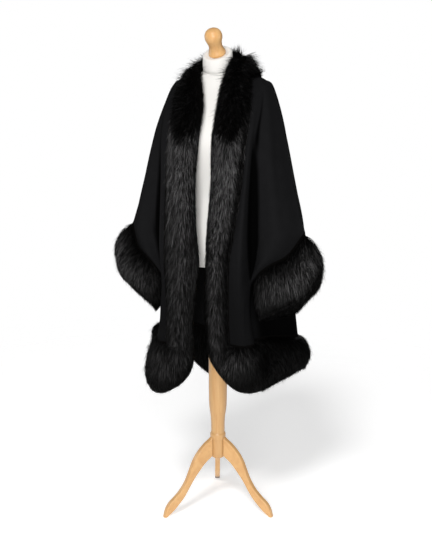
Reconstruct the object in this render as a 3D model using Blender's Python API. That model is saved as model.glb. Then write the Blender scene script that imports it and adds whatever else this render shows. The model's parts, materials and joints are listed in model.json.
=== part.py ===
"""A fur-trimmed open cape with wide winged sleeves, hung on a limbless display form on a turned wooden tripod stand. Metres, +Z up, the front opening faces -Y and +X is the wearer's left."""

import math

import bpy
import numpy as np

# Overall placing
DEPTH_SHIFT = -0.025  # moves everything along Y so that the outline is centred on the origin
WALL = 0.002  # thickness of the cloth
SEAM_GAP = 0.0003  # clear distance between sewn pieces
STAND_TURN = math.radians(-67.5)  # heading of the middle of the two forward legs

# The cape is worked out in rows that run from the front edge round to the back.
# Row 0 lies at the neck, row 5 ends at the top of the sleeve mouth, row 10 at its
# foot under the arm, row 12 is where the hem's fur starts.
MOUTH_TOP, MOUTH_FOOT, HEM_ROW = 5, 10, 12
ROW_STEPS = (2, 2, 4, 4, 4, 2, 2, 2, 2, 2, 3, 3)  # how many steps between rows

# Front edge of each side: the fur's free edge, then the seam where cloth starts.
EDGE_COLUMNS = ("edge_x", "edge_y", "edge_z", "seam_x", "seam_y", "seam_z")
EDGE = {
    "left": (
        (0.056, -0.030, 1.592, 0.112, -0.012, 1.545),
        (0.049, -0.078, 1.532, 0.136, -0.062, 1.492),
        (0.047, -0.122, 1.452, 0.146, -0.092, 1.430),
        (0.045, -0.160, 1.340, 0.142, -0.117, 1.330),
        (0.045, -0.168, 1.200, 0.136, -0.135, 1.200),
        (0.036, -0.178, 1.055, 0.119, -0.152, 1.055),
        (0.034, -0.182, 0.985, 0.108, -0.160, 0.985),
        (0.033, -0.185, 0.935, 0.104, -0.165, 0.935),
        (0.032, -0.187, 0.885, 0.103, -0.168, 0.885),
        (0.032, -0.188, 0.840, 0.104, -0.170, 0.840),
        (0.032, -0.189, 0.795, 0.105, -0.172, 0.795),
        (0.035, -0.190, 0.735, 0.107, -0.174, 0.735),
        (0.042, -0.190, 0.672, 0.111, -0.175, 0.668),
    ),
    "right": (
        (0.054, -0.034, 1.572, 0.112, -0.012, 1.545),
        (0.028, -0.082, 1.532, 0.120, -0.066, 1.492),
        (0.002, -0.128, 1.452, 0.122, -0.098, 1.430),
        (0.004, -0.164, 1.340, 0.130, -0.122, 1.330),
        (0.014, -0.170, 1.200, 0.131, -0.136, 1.200),
        (0.007, -0.180, 1.055, 0.130, -0.152, 1.055),
        (-0.002, -0.184, 0.985, 0.129, -0.160, 0.985),
        (-0.005, -0.187, 0.935, 0.128, -0.164, 0.935),
        (-0.002, -0.189, 0.885, 0.124, -0.167, 0.885),
        (0.004, -0.190, 0.840, 0.120, -0.169, 0.840),
        (0.010, -0.191, 0.795, 0.118, -0.171, 0.795),
        (0.014, -0.192, 0.735, 0.117, -0.173, 0.735),
        (0.015, -0.192, 0.672, 0.117, -0.174, 0.650),
    ),
}

# Front panel, from the fur seam outward: the crest of the long tube fold, the
# valley beside it, the crown of the wing, then the border with the back.
FRONT_COLUMNS = (
    "crest_x",
    "crest_y",
    "valley_x",
    "valley_y",
    "wing_x",
    "wing_y",
    "border_x",
    "border_y",
    "border_z",
)
FRONT = (
    (0.115, -0.003, 0.119, 0.008, 0.122, 0.019, 0.125, 0.030, 1.549),
    (0.143, -0.040, 0.149, -0.012, 0.154, 0.010, 0.155, 0.032, 1.533),
    (0.156, -0.074, 0.166, -0.045, 0.176, -0.010, 0.1785, 0.033, 1.514),
    (0.156, -0.117, 0.164, -0.096, 0.202, -0.056, 0.222, 0.020, 1.400),
    (0.151, -0.140, 0.163, -0.100, 0.226, -0.090, 0.260, 0.000, 1.235),
    (0.146, -0.162, 0.164, -0.098, 0.248, -0.118, 0.3165, -0.0235, 1.034),
    (0.144, -0.169, 0.164, -0.098, 0.222, -0.122, 0.276, -0.070, 0.966),
    (0.143, -0.172, 0.164, -0.100, 0.200, -0.124, 0.230, -0.102, 0.938),
    (0.144, -0.173, 0.164, -0.106, 0.182, -0.117, 0.196, -0.112, 0.912),
    (0.146, -0.174, 0.164, -0.122, 0.167, -0.110, 0.171, -0.101, 0.880),
    (0.148, -0.174, 0.165, -0.136, 0.160, -0.100, 0.153, -0.070, 0.850),
    (0.150, -0.174, 0.168, -0.144, 0.162, -0.108, 0.147, -0.072, 0.760),
    (0.156, -0.174, 0.178, -0.148, 0.179, -0.114, 0.162, -0.080, 0.664),
)

# Back panel, from its border inward: the side, two folds of the back, the centre.
# The border differs from the front's only round the sleeve mouth.
BACK_COLUMNS = (
    "border_x",
    "border_y",
    "border_z",
    "turn_x",
    "turn_y",
    "side_x",
    "side_y",
    "outer_x",
    "outer_y",
    "inner_x",
    "inner_y",
    "centre_y",
    "centre_z",
)
BACK = (
    (0.125, 0.030, 1.549, 0.122, 0.044, 0.115, 0.060, 0.092, 0.080, 0.052, 0.095, 0.100, 1.545),
    (0.155, 0.032, 1.533, 0.155, 0.050, 0.150, 0.070, 0.124, 0.098, 0.070, 0.118, 0.122, 1.498),
    (0.1785, 0.033, 1.514, 0.180, 0.056, 0.175, 0.080, 0.146, 0.118, 0.082, 0.136, 0.137, 1.440),
    (0.222, 0.020, 1.400, 0.217, 0.052, 0.207, 0.086, 0.170, 0.140, 0.092, 0.152, 0.149, 1.330),
    (0.260, 0.000, 1.235, 0.252, 0.040, 0.240, 0.086, 0.195, 0.152, 0.102, 0.168, 0.159, 1.200),
    (0.3165, -0.0235, 1.034, 0.301, 0.030, 0.278, 0.092, 0.215, 0.168, 0.112, 0.186, 0.172, 1.055),
    (0.306, 0.020, 0.968, 0.298, 0.062, 0.276, 0.108, 0.219, 0.176, 0.115, 0.194, 0.180, 0.985),
    (0.286, 0.050, 0.916, 0.282, 0.080, 0.266, 0.116, 0.219, 0.180, 0.116, 0.200, 0.187, 0.932),
    (0.250, 0.052, 0.880, 0.256, 0.084, 0.255, 0.122, 0.216, 0.184, 0.117, 0.205, 0.192, 0.880),
    (0.206, 0.020, 0.858, 0.226, 0.066, 0.246, 0.118, 0.214, 0.187, 0.118, 0.210, 0.197, 0.830),
    (0.153, -0.070, 0.850, 0.174, 0.012, 0.241, 0.104, 0.213, 0.188, 0.119, 0.214, 0.201, 0.785),
    (0.147, -0.072, 0.760, 0.168, 0.008, 0.243, 0.102, 0.214, 0.192, 0.120, 0.221, 0.208, 0.680),
    (0.162, -0.080, 0.664, 0.188, 0.002, 0.256, 0.094, 0.222, 0.198, 0.124, 0.230, 0.217, 0.556),
)

# The tube fold is narrower on the wearer's right: shift of its crest and valley, row by row
TUBE_SHIFT = {
    "left": (0.0,) * 13,
    "right": (0.0, 0.0, 0.0, 0.0, -0.002, -0.001, 0.0, -0.003, -0.008, -0.013, -0.013, -0.013, -0.013),
}

# Steps across each panel, between its named columns
FRONT_STEPS = (2, 3, 3, 2)
BACK_STEPS = (2, 2, 3, 3, 3)

# Collar: free edge of its fur from the shoulder seam round to the centre back,
# lower on the wearer's right
COLLAR_EDGE = {
    "left": ((0.059, 0.006, 1.607), (0.057, 0.026, 1.612), (0.038, 0.054, 1.616), (0.000, 0.064, 1.616)),
    "right": ((0.061, 0.004, 1.577), (0.058, 0.026, 1.588), (0.039, 0.054, 1.607), (0.000, 0.064, 1.616)),
}
# Fur's free edge as it turns each front corner, and its foot under the front panel
CORNER_EDGE = {
    "left": (
        (0.049, -0.191, 0.625),
        (0.073, -0.192, 0.585),
        (0.103, -0.190, 0.548),
        (0.140, -0.186, 0.522),
        (0.176, -0.162, 0.508),
        (0.206, -0.104, 0.502),
    ),
    "right": (
        (0.014, -0.193, 0.600),
        (0.030, -0.193, 0.556),
        (0.068, -0.191, 0.512),
        (0.126, -0.186, 0.478),
        (0.178, -0.160, 0.468),
        (0.226, -0.108, 0.478),
    ),
}
# Height across the back, from border to centre, by a power of the share of the way: row and power
HEIGHT_POWER = ((9, 1.1), (12, 1.7))
# Foot of the hem's fur from the side seam round to the centre back
HEM_FOOT = {
    "left": (
        (0.256, -0.030, 0.530),
        (0.288, 0.095, 0.536),
        (0.251, 0.198, 0.494),
        (0.136, 0.238, 0.412),
        (0.000, 0.228, 0.380),
    ),
    "right": (
        (0.240, -0.030, 0.566),
        (0.271, 0.095, 0.584),
        (0.246, 0.197, 0.530),
        (0.136, 0.238, 0.418),
        (0.000, 0.228, 0.380),
    ),
}
# Free edge of a cuff's fur: a point for each row of the mouth's front from its top
# to its foot under the arm, then for each row of its back
CUFF_EDGE = {
    "left": (
        (0.380, -0.040, 0.905),
        (0.345, -0.084, 0.840),
        (0.292, -0.108, 0.808),
        (0.238, -0.118, 0.780),
        (0.192, -0.110, 0.754),
        (0.204, -0.068, 0.745),
        (0.240, 0.016, 0.738),
        (0.268, 0.072, 0.742),
        (0.308, 0.082, 0.788),
        (0.352, 0.042, 0.840),
    ),
    "right": (
        (0.380, -0.040, 0.920),
        (0.340, -0.084, 0.862),
        (0.292, -0.108, 0.832),
        (0.240, -0.118, 0.796),
        (0.196, -0.110, 0.758),
        (0.204, -0.068, 0.738),
        (0.236, 0.016, 0.736),
        (0.262, 0.072, 0.748),
        (0.312, 0.080, 0.796),
        (0.354, 0.040, 0.852),
    ),
}

# Fur's depth across its band, from the seam to the free edge: share of the width,
# outward depth and inward depth
PILE = (
    (0.00, 0.0010, 0.0010),
    (0.13, 0.0170, 0.0050),
    (0.34, 0.0270, 0.0085),
    (0.60, 0.0300, 0.0100),
    (0.84, 0.0220, 0.0085),
    (1.00, 0.0060, 0.0045),
)
# Share of that outward depth: at the collar's back, at each shoulder, and round a
# cuff from the top of its mouth down its front to the foot and up its back
COLLAR_PILE = 0.86
SHOULDER_PILE = {"left": 0.90, "right": 0.60}
CUFF_TOP = {"left": 1.0, "right": 0.85}
CUFF_PILE = (1.0, 1.0, 0.80, 0.28, 0.12, 0.20, 0.60, 1.0, 1.0)
CORNER_TURNS = (0.0, math.radians(25), math.radians(50), math.radians(75))
CORNER_RADIUS = 0.0015  # the fur's seam turns the cloth's corner on this radius

# Display form: height, half width, front and back of each ring
TORSO_RINGS = (
    (0.908, 0.172, -0.100, 0.110),
    (0.914, 0.177, -0.105, 0.115),
    (0.960, 0.179, -0.110, 0.124),
    (1.030, 0.166, -0.106, 0.118),
    (1.090, 0.143, -0.098, 0.102),
    (1.150, 0.128, -0.093, 0.090),
    (1.210, 0.133, -0.104, 0.092),
    (1.270, 0.145, -0.124, 0.099),
    (1.325, 0.154, -0.138, 0.107),
    (1.370, 0.157, -0.133, 0.112),
    (1.415, 0.160, -0.111, 0.113),
    (1.455, 0.165, -0.087, 0.108),
    (1.488, 0.169, -0.064, 0.101),
    (1.510, 0.163, -0.048, 0.094),
    (1.527, 0.144, -0.0408, 0.086),
    (1.539, 0.121, -0.0388, 0.078),
    (1.548, 0.094, -0.0390, 0.070),
)
TORSO_SIDES = 36
TORSO_SQUARENESS = 2.25  # exponent of the rings' superellipse
NECK = (  # centre y, centre z, half width, half depth and forward tilt in degrees
    (0.012, 1.5580, 0.0650, 0.0526, 8.8),
    (0.0095, 1.5685, 0.0530, 0.0530, 19.0),
)
NECK_BAND = (  # centre y, centre z, radius and forward tilt in degrees
    (0.0095, 1.5692, 0.0535, 19.0),
    (0.0055, 1.5770, 0.0540, 20.0),
    (-0.001, 1.5960, 0.0515, 25.0),
    (-0.005, 1.6150, 0.0500, 31.0),
    (-0.0058, 1.6175, 0.0480, 32.0),
)
NECK_SIDES = 28

# Turned knob on the neck: radius and height along its tilted axis
KNOB = (
    (0.0278, 0.0004),
    (0.0291, 0.0030),
    (0.0287, 0.0085),
    (0.0262, 0.0150),
    (0.0237, 0.0230),
    (0.0227, 0.0320),
    (0.0234, 0.0400),
    (0.0262, 0.0485),
    (0.0288, 0.0575),
    (0.0296, 0.0650),
    (0.0284, 0.0740),
    (0.0242, 0.0825),
    (0.0170, 0.0887),
    (0.0075, 0.0920),
)
KNOB_BASE_Y, KNOB_BASE_Z, KNOB_TILT = -0.0058, 1.6175, 32.0

# Turned post and the boss that the legs meet: radius and height
POST = (
    (0.0272, 0.2550),
    (0.0277, 0.2600),
    (0.0277, 0.2760),
    (0.0252, 0.2800),
    (0.0247, 0.3000),
    (0.0252, 0.3250),
    (0.0272, 0.3480),
    (0.0302, 0.3680),
    (0.0321, 0.3950),
    (0.0329, 0.4400),
    (0.0329, 0.5200),
    (0.0320, 0.7000),
    (0.0300, 0.9077),
)
BOSS = (
    (0.0150, 0.1838),
    (0.0212, 0.1850),
    (0.0236, 0.1890),
    (0.0252, 0.2000),
    (0.0262, 0.2150),
    (0.0265, 0.2400),
    (0.0258, 0.2547),
)
TURNED_SIDES = 24

# Curved leg: distance from the post and height of its upper and lower edges
LEG_COLUMNS = ("upper_r", "upper_z", "lower_r", "lower_z")
LEG = (
    (0.0281, 0.264, 0.0281, 0.191),
    (0.0355, 0.257, 0.0547, 0.173),
    (0.0557, 0.244, 0.0717, 0.156),
    (0.0810, 0.220, 0.0907, 0.134),
    (0.1014, 0.192, 0.1083, 0.112),
    (0.1193, 0.151, 0.1262, 0.085),
    (0.1337, 0.120, 0.1442, 0.059),
    (0.1555, 0.089, 0.1650, 0.037),
    (0.1803, 0.066, 0.1871, 0.017),
    (0.2009, 0.050, 0.2019, 0.007),
    (0.2159, 0.029, 0.2097, 0.002),
    (0.2252, 0.000, 0.2114, 0.000),
)
LEG_THICK, LEG_BEVEL = 0.0185, 0.0040


def clear_scene():
    for item in list(bpy.data.objects):
        bpy.data.objects.remove(item)


def paint(name, rgb, roughness):
    material = bpy.data.materials.new(name)
    material.use_nodes = True
    shader = material.node_tree.nodes["Principled BSDF"]
    shader.inputs["Base Color"].default_value = (*rgb, 1.0)
    shader.inputs["Roughness"].default_value = roughness
    material.diffuse_color = (*rgb, 1.0)
    return material


def solid(name, points, faces, material):
    """Closed mesh object, its faces turned outward by the sign of its volume."""
    points = np.asarray(points, float) + (0.0, DEPTH_SHIFT, 0.0)
    triangles = []
    for face in faces:
        triangles += [(face[0], face[i], face[i + 1]) for i in range(1, len(face) - 1)]
    corner = points[np.array(triangles)]
    volume = np.einsum("ij,ij->i", corner[:, 0], np.cross(corner[:, 1], corner[:, 2])).sum()
    if volume < 0:
        triangles = [(a, c, b) for a, b, c in triangles]
    mesh = bpy.data.meshes.new(name)
    mesh.from_pydata(points.tolist(), [], triangles)
    mesh.materials.append(material)
    item = bpy.data.objects.new(name, mesh)
    bpy.context.scene.collection.objects.link(item)
    return item


def smooth_through(points, knots, at):
    """Cubic curve through points at their knots, with the slope at each from its two neighbours."""
    points, knots = np.asarray(points, float), np.asarray(knots, float)
    span = np.diff(knots)
    slope = np.diff(points, axis=0) / span[:, None]
    tangent = np.empty_like(points)
    tangent[0], tangent[-1] = slope[0], slope[-1]
    before, after = span[:-1, None], span[1:, None]
    tangent[1:-1] = (slope[:-1] * after + slope[1:] * before) / (before + after)
    at = np.asarray(at, float)
    k = np.clip(np.searchsorted(knots, at, side="right") - 1, 0, len(knots) - 2)
    h = span[k][:, None]
    f = ((at - knots[k]) / span[k])[:, None]
    return (
        points[k] * (2 * f**3 - 3 * f**2 + 1)
        + tangent[k] * h * (f**3 - 2 * f**2 + f)
        + points[k + 1] * (3 * f**2 - 2 * f**3)
        + tangent[k + 1] * h * (f**3 - f**2)
    )


def along(points, steps):
    """Samples between given points, so many steps from each to the next, with knots by the square root of the chord."""
    points = np.asarray(points, float)
    knots = np.concatenate(
        [[0], np.cumsum(np.sqrt(np.linalg.norm(np.diff(points, axis=0), axis=1)) + 1e-6)]
    )
    at = [knots[0]]
    for k, count in enumerate(steps):
        at += list(knots[k] + (knots[k + 1] - knots[k]) * np.arange(1, count + 1) / count)
    return smooth_through(points, knots, at)


def along_evenly(points, count):
    """Samples at equal distances along the curve through given points."""
    fine = along(points, [12] * (len(points) - 1))
    run = np.concatenate([[0], np.cumsum(np.linalg.norm(np.diff(fine, axis=0), axis=1))])
    want = np.linspace(0, run[-1], count)
    return np.stack([np.interp(want, run, fine[:, axis]) for axis in range(3)], axis=1)


def unit(vectors):
    return vectors / np.maximum(np.linalg.norm(vectors, axis=-1, keepdims=True), 1e-12)


def grid_normals(grid):
    """Normals of a grid of points whose rows run down and columns run from the front round to the back."""
    down = np.gradient(grid, axis=0)
    across = np.gradient(grid, axis=1)
    return unit(np.cross(down, across))


def row_marks():
    """Row numbers of the fine rows."""
    marks = [0.0]
    for k, count in enumerate(ROW_STEPS):
        marks += [k + i / count for i in range(1, count + 1)]
    return np.array(marks)


def fine_rows(table):
    table = np.asarray(table, float)
    return smooth_through(table, np.arange(len(table)), row_marks())


def border_rows(table, columns):
    """Border points at the fine rows, as three curves that meet at the top and foot of the sleeve mouth."""
    where = [columns.index(name) for name in ("border_x", "border_y", "border_z")]
    points, marks = np.asarray(table, float)[:, where], row_marks()
    found = np.empty((len(marks), 3))
    for first, last in ((0, MOUTH_TOP), (MOUTH_TOP, MOUTH_FOOT), (MOUTH_FOOT, HEM_ROW)):
        inside = (marks >= first) & (marks <= last)
        found[inside] = smooth_through(
            points[first : last + 1], np.arange(first, last + 1), marks[inside]
        )
    return found


def front_grid(side):
    """Front panel of one side, drawn on the wearer's left: rows down, columns from the fur seam to the border."""
    edge = dict(zip(EDGE_COLUMNS, fine_rows(EDGE[side]).T))
    sheet = dict(zip(FRONT_COLUMNS, fine_rows(FRONT).T))
    border = border_rows(FRONT, FRONT_COLUMNS)
    grid = []
    for r in range(len(edge["seam_x"])):
        start = np.array([edge["seam_x"][r], edge["seam_y"][r], edge["seam_z"][r]])
        end = border[r]
        shift = np.interp(marks[r], np.arange(len(FRONT)), TUBE_SHIFT[side])
        between = [
            (sheet["crest_x"][r] + shift, sheet["crest_y"][r]),
            (sheet["valley_x"][r] + shift, sheet["valley_y"][r]),
            (sheet["wing_x"][r], sheet["wing_y"][r]),
        ]
        plan = np.array([start[:2], *between, end[:2]])
        run = np.concatenate([[0], np.cumsum(np.linalg.norm(np.diff(plan, axis=0), axis=1))])
        height = start[2] + (end[2] - start[2]) * run / run[-1]
        grid.append(along(np.column_stack([plan, height]), FRONT_STEPS))
    return np.array(grid)


def back_grid():
    """Half of the back panel on the wearer's left: rows down, columns from its border to the centre."""
    sheet = dict(zip(BACK_COLUMNS, fine_rows(BACK).T))
    border = border_rows(BACK, BACK_COLUMNS)
    power = np.interp(marks, *zip(*HEIGHT_POWER))
    grid = []
    for r in range(len(sheet["centre_y"])):
        end = np.array([0.0, sheet["centre_y"][r], sheet["centre_z"][r]])
        start = border[r]
        between = [
            (sheet[name + "_x"][r], sheet[name + "_y"][r]) for name in ("turn", "side", "outer", "inner")
        ]
        plan = np.array([start[:2], *between, end[:2]])
        run = np.concatenate([[0], np.cumsum(np.linalg.norm(np.diff(plan, axis=0), axis=1))])
        height = start[2] + (end[2] - start[2]) * (run / run[-1]) ** power[r]
        grid.append(along(np.column_stack([plan, height]), BACK_STEPS))
    return np.array(grid)


def edge_pull(edge, within):
    """Shift of an edge's points by the seam gap, square to the edge and toward the points within."""
    run = unit(np.gradient(edge, axis=0))
    toward = within - edge
    return unit(toward - (toward * run).sum(axis=1, keepdims=True) * run) * SEAM_GAP


def drawn_in(grid):
    """The grid with its four edges moved inward along the sheet by the seam gap."""
    moved = grid.copy()
    moved[0] += edge_pull(grid[0], grid[1])
    moved[-1] += edge_pull(grid[-1], grid[-2])
    moved[:, 0] += edge_pull(grid[:, 0], grid[:, 1])
    moved[:, -1] += edge_pull(grid[:, -1], grid[:, -2])
    return moved


def slab(name, grid, normal, outward, inward, material, ring=False):
    """Closed solid between the grid moved out along its normals and the grid moved in. A ring joins its last row to its first."""
    rows, columns = grid.shape[:2]
    outer = grid + normal * np.broadcast_to(outward, (rows, columns))[..., None]
    inner = grid - normal * np.broadcast_to(inward, (rows, columns))[..., None]
    points = np.concatenate([outer.reshape(-1, 3), inner.reshape(-1, 3)])
    second = rows * columns

    def at(r, c, layer):
        return layer * second + (r % rows) * columns + c

    faces = []
    for r in range(rows if ring else rows - 1):
        for c in range(columns - 1):
            faces.append((at(r, c, 0), at(r + 1, c, 0), at(r + 1, c + 1, 0), at(r, c + 1, 0)))
            faces.append((at(r, c, 1), at(r, c + 1, 1), at(r + 1, c + 1, 1), at(r + 1, c, 1)))
        last = columns - 1
        faces.append((at(r, 0, 0), at(r, 0, 1), at(r + 1, 0, 1), at(r + 1, 0, 0)))
        faces.append((at(r, last, 0), at(r + 1, last, 0), at(r + 1, last, 1), at(r, last, 1)))
    if not ring:
        last = rows - 1
        for c in range(columns - 1):
            faces.append((at(0, c, 0), at(0, c + 1, 0), at(0, c + 1, 1), at(0, c, 1)))
            faces.append((at(last, c, 0), at(last, c, 1), at(last, c + 1, 1), at(last, c + 1, 0)))
    return solid(name, points, faces, material)


def mirrored(values):
    return values * np.array([-1.0, 1.0, 1.0])


def fur_loop(seam, seam_normal, edge):
    """Grid and outward normals of a band of fur that runs as a closed loop from its seam to its free edge."""
    share = np.array(PILE)[:, 0]
    grid = seam[:, None] + (edge - seam)[:, None] * share[None, :, None]
    run = np.roll(grid, -1, axis=0) - np.roll(grid, 1, axis=0)
    across = (edge - seam)[:, None] * np.ones_like(grid)
    normal = unit(np.cross(across, run))
    normal[:, 0] = seam_normal
    return grid, normal


def fur_roll(name, grid, normal, outward, inward, ring=False):
    """Roll of fur over part of a band, its cut ends drawn in by half the seam gap."""
    grid = grid.copy()
    if not ring:
        grid[0] += unit(grid[1] - grid[0]) * SEAM_GAP / 2
        grid[-1] += unit(grid[-2] - grid[-1]) * SEAM_GAP / 2
    out_by = np.array(PILE)[:, 1] * np.asarray(outward)
    in_by = np.array(PILE)[:, 2] * np.asarray(inward)
    out_by[..., 0] = in_by[..., 0] = WALL / 2
    return slab(name, grid, normal, out_by, in_by, fur, ring)


def lathe(name, profile, place, sides, material):
    """Turned solid. The profile lists radius and height, and place maps (x, y, height) to the scene."""
    angle = np.arange(sides) * 2 * math.pi / sides
    points = []
    for radius, height in profile:
        points += [place(radius * math.cos(a), radius * math.sin(a), height) for a in angle]
    return rings_solid(name, points, len(profile), sides, material)


def rings_solid(name, points, rings, sides, material):
    """Closed solid through equal rings of points, closed by a fan at each end."""
    points = [tuple(p) for p in points]
    first = np.mean(points[:sides], axis=0)
    last = np.mean(points[-sides:], axis=0)
    points += [tuple(first), tuple(last)]
    low, high = rings * sides, rings * sides + 1
    faces = []
    for r in range(rings - 1):
        for s in range(sides):
            t = (s + 1) % sides
            faces.append((r * sides + s, r * sides + t, (r + 1) * sides + t, (r + 1) * sides + s))
    for s in range(sides):
        t = (s + 1) % sides
        faces.append((low, t, s))
        faces.append((high, (rings - 1) * sides + s, (rings - 1) * sides + t))
    return solid(name, points, faces, material)


def tilted_ring(y, z, half, deep, tilt, sides):
    """Ring of points round a centre, its front lowered by the tilt."""
    lean = math.radians(tilt)
    ring = []
    for s in range(sides):
        a = 2 * math.pi * s / sides
        out, fore = half * math.cos(a), deep * math.sin(a)
        ring.append((out, y + fore * math.cos(lean), z + fore * math.sin(lean)))
    return ring


def torso_points():
    points = []
    for z, half, front, back in TORSO_RINGS:
        middle, deep = (front + back) / 2, (back - front) / 2
        for s in range(TORSO_SIDES):
            a = 2 * math.pi * s / TORSO_SIDES
            c, d = math.cos(a), math.sin(a)
            power = 2 / TORSO_SQUARENESS
            points.append(
                (
                    half * math.copysign(abs(c) ** power, c),
                    middle + deep * math.copysign(abs(d) ** power, d),
                    z,
                )
            )
    for y, z, half, deep, tilt in NECK:
        points += tilted_ring(y, z, half, deep, tilt, TORSO_SIDES)
    return points


def leg_points(heading):
    """Rings of eight points along a leg, a flat board with its long edges bevelled."""
    c, s = math.cos(heading), math.sin(heading)
    half, bevel = LEG_THICK / 2, LEG_BEVEL
    points = []
    for upper_r, upper_z, lower_r, lower_z in LEG:
        upper, lower = np.array([upper_r, upper_z]), np.array([lower_r, lower_z])
        rise = (upper - lower) / np.linalg.norm(upper - lower)
        ring = [
            (upper, half - bevel),
            (upper - rise * bevel, half),
            (lower + rise * bevel, half),
            (lower, half - bevel),
            (lower, bevel - half),
            (lower + rise * bevel, -half),
            (upper - rise * bevel, -half),
            (upper, bevel - half),
        ]
        points += [(r * c - w * s, r * s + w * c, z) for (r, z), w in ring]
    return points


clear_scene()
wool = paint("wool", (0.020, 0.020, 0.022), 0.85)
fur = paint("fur", (0.045, 0.040, 0.038), 0.70)
jersey = paint("jersey", (0.82, 0.81, 0.78), 0.80)
wood = paint("wood", (0.72, 0.52, 0.31), 0.45)

marks = row_marks()
top_row = int(np.argmin(abs(marks - MOUTH_TOP)))
foot_row = int(np.argmin(abs(marks - MOUTH_FOOT)))

fronts = {side: front_grid(side) for side in ("left", "right")}
half_back = back_grid()
back_normal = grid_normals(half_back)
back_normal[:, -1] = unit(back_normal[:, -1] * np.array([0.0, 1.0, 1.0]))
front_normals = {side: grid_normals(grid) for side, grid in fronts.items()}
joined = np.r_[0 : top_row + 1, foot_row : len(marks)]
shared = unit(front_normals["left"][joined, -1] + back_normal[joined, 0])
back_normal[joined, 0] = shared
for side in fronts:
    front_normals[side][joined, -1] = shared

for side in ("left", "right"):
    grid = drawn_in(fronts[side])
    normal = front_normals[side]
    if side == "right":
        grid, normal = mirrored(grid), mirrored(normal)
    slab("front_" + side, grid, normal, WALL / 2, WALL / 2, wool)

whole_back = np.concatenate([half_back, mirrored(half_back[:, -2::-1])], axis=1)
whole_normal = np.concatenate([back_normal, mirrored(back_normal[:, -2::-1])], axis=1)
slab("back", drawn_in(whole_back), whole_normal, WALL / 2, WALL / 2, wool)


def trim_half(side):
    """Half of the trim, on the wearer's left: seam, its normals and free edge, from the centre back of the collar down the front, round the corner and along the hem to the centre back, with the row numbers of its pieces."""
    grid, normal = fronts[side], front_normals[side]
    parts = []
    # Collar, from the centre back to the shoulder seam
    free = along_evenly(COLLAR_EDGE[side], half_back.shape[1])[::-1]
    parts.append((half_back[0, ::-1], back_normal[0, ::-1], free))
    # Over the shoulder seam and down the opening
    rows = dict(zip(EDGE_COLUMNS, fine_rows(EDGE[side]).T))
    free = np.column_stack([rows["edge_x"], rows["edge_y"], rows["edge_z"]])
    first, share = np.array(COLLAR_EDGE[side][0]), np.array([[0.2], [0.5], [0.8]])
    parts.append((grid[0, [8, 5, 2]], normal[0, [8, 5, 2]], first + (free[0] - first) * share))
    parts.append((grid[:-1, 0], normal[:-1, 0], free[:-1]))
    # Round the corner of the cloth
    corner = grid[-1, 0]
    down = unit(grid[-1, 0] - grid[-2, 0])
    fore = unit(grid[-1, 0] - grid[-1, 1])
    turns = [corner + CORNER_RADIUS * (fore * math.cos(a) + down * math.sin(a)) for a in CORNER_TURNS]
    turn_edge = np.array([free[-1], *CORNER_EDGE[side][:3]])
    parts.append((turns, [normal[-1, 0]] * len(turns), turn_edge))
    # Along the hem of the front to the side seam, then of the back to its centre
    places = list(range(1, 10))
    foot = along_evenly(np.array(CORNER_EDGE[side])[2:], len(places) + 2)
    parts.append((grid[-1, places], normal[-1, places], foot[1:-1]))
    free = along_evenly([CORNER_EDGE[side][-1], *HEM_FOOT[side]], half_back.shape[1])
    parts.append((half_back[-1], back_normal[-1], free))
    counts = [len(part[0]) for part in parts]
    shoulder, side_seam = counts[0] - 1, sum(counts[:-1])
    settled = shoulder + 3 + int(np.argmin(abs(marks - 2)))
    share = np.interp(
        np.arange(sum(counts)),
        [0, shoulder, settled],
        [COLLAR_PILE, SHOULDER_PILE[side], 1.0],
    )
    joined = [np.concatenate([part[i] for part in parts]) for i in range(3)]
    return joined, share, shoulder, side_seam


# The trim is one loop: down the left front, round the hem and up the right front
halves = {side: trim_half(side) for side in ("left", "right")}
loop = [
    np.concatenate([left, mirrored(right[-2:0:-1])])
    for left, right in zip(halves["left"][0], halves["right"][0])
]
grid, normal = fur_loop(*loop)
size = len(grid)
share = np.concatenate([halves["left"][1], halves["right"][1][-2:0:-1]])[:, None]
left_shoulder, left_side = halves["left"][2:]
right_shoulder, right_side = size - halves["right"][2], size - halves["right"][3]
pieces = (
    ("fur_collar", right_shoulder, left_shoulder + size),
    ("fur_front_left", left_shoulder, left_side),
    ("fur_hem", left_side, right_side),
    ("fur_front_right", right_side, right_shoulder),
)
for name, first, last in pieces:
    picks = np.arange(first, last + 1) % size
    fur_roll(name, grid[picks], normal[picks], share[picks], 1.0)

# Cuffs, each a closed ring round a sleeve mouth: up its front, then down its back
for side in ("left", "right"):
    front_lip = fronts[side][top_row : foot_row + 1, -1]
    back_lip = half_back[top_row + 1 : foot_row, 0][::-1]
    seam = np.concatenate([front_lip, back_lip])
    seam_normal = np.concatenate(
        [
            front_normals[side][top_row : foot_row + 1, -1],
            back_normal[top_row + 1 : foot_row, 0][::-1],
        ]
    )
    steps = ROW_STEPS[MOUTH_TOP:MOUTH_FOOT]
    edge = along([*CUFF_EDGE[side], CUFF_EDGE[side][0]], steps + steps[::-1])[:-1]
    depth = np.interp(np.arange(len(seam)) / 2, np.arange(len(CUFF_PILE) + 2), (CUFF_TOP[side], *CUFF_PILE, CUFF_TOP[side]))
    grid, normal = fur_loop(seam[::-1], seam_normal[::-1], edge[::-1])
    if side == "right":
        grid, normal = mirrored(grid), mirrored(normal)
    fur_roll("fur_cuff_" + side, grid, normal, depth[::-1, None], 1.0, ring=True)

# Display form and stand
torso = torso_points()
rings_solid("torso", torso, len(TORSO_RINGS) + len(NECK), TORSO_SIDES, jersey)
neck = []
for y, z, radius, tilt in NECK_BAND:
    neck += tilted_ring(y, z, radius, radius, tilt, NECK_SIDES)
rings_solid("neck_band", neck, len(NECK_BAND), NECK_SIDES, jersey)

lean = math.radians(KNOB_TILT)


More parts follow.
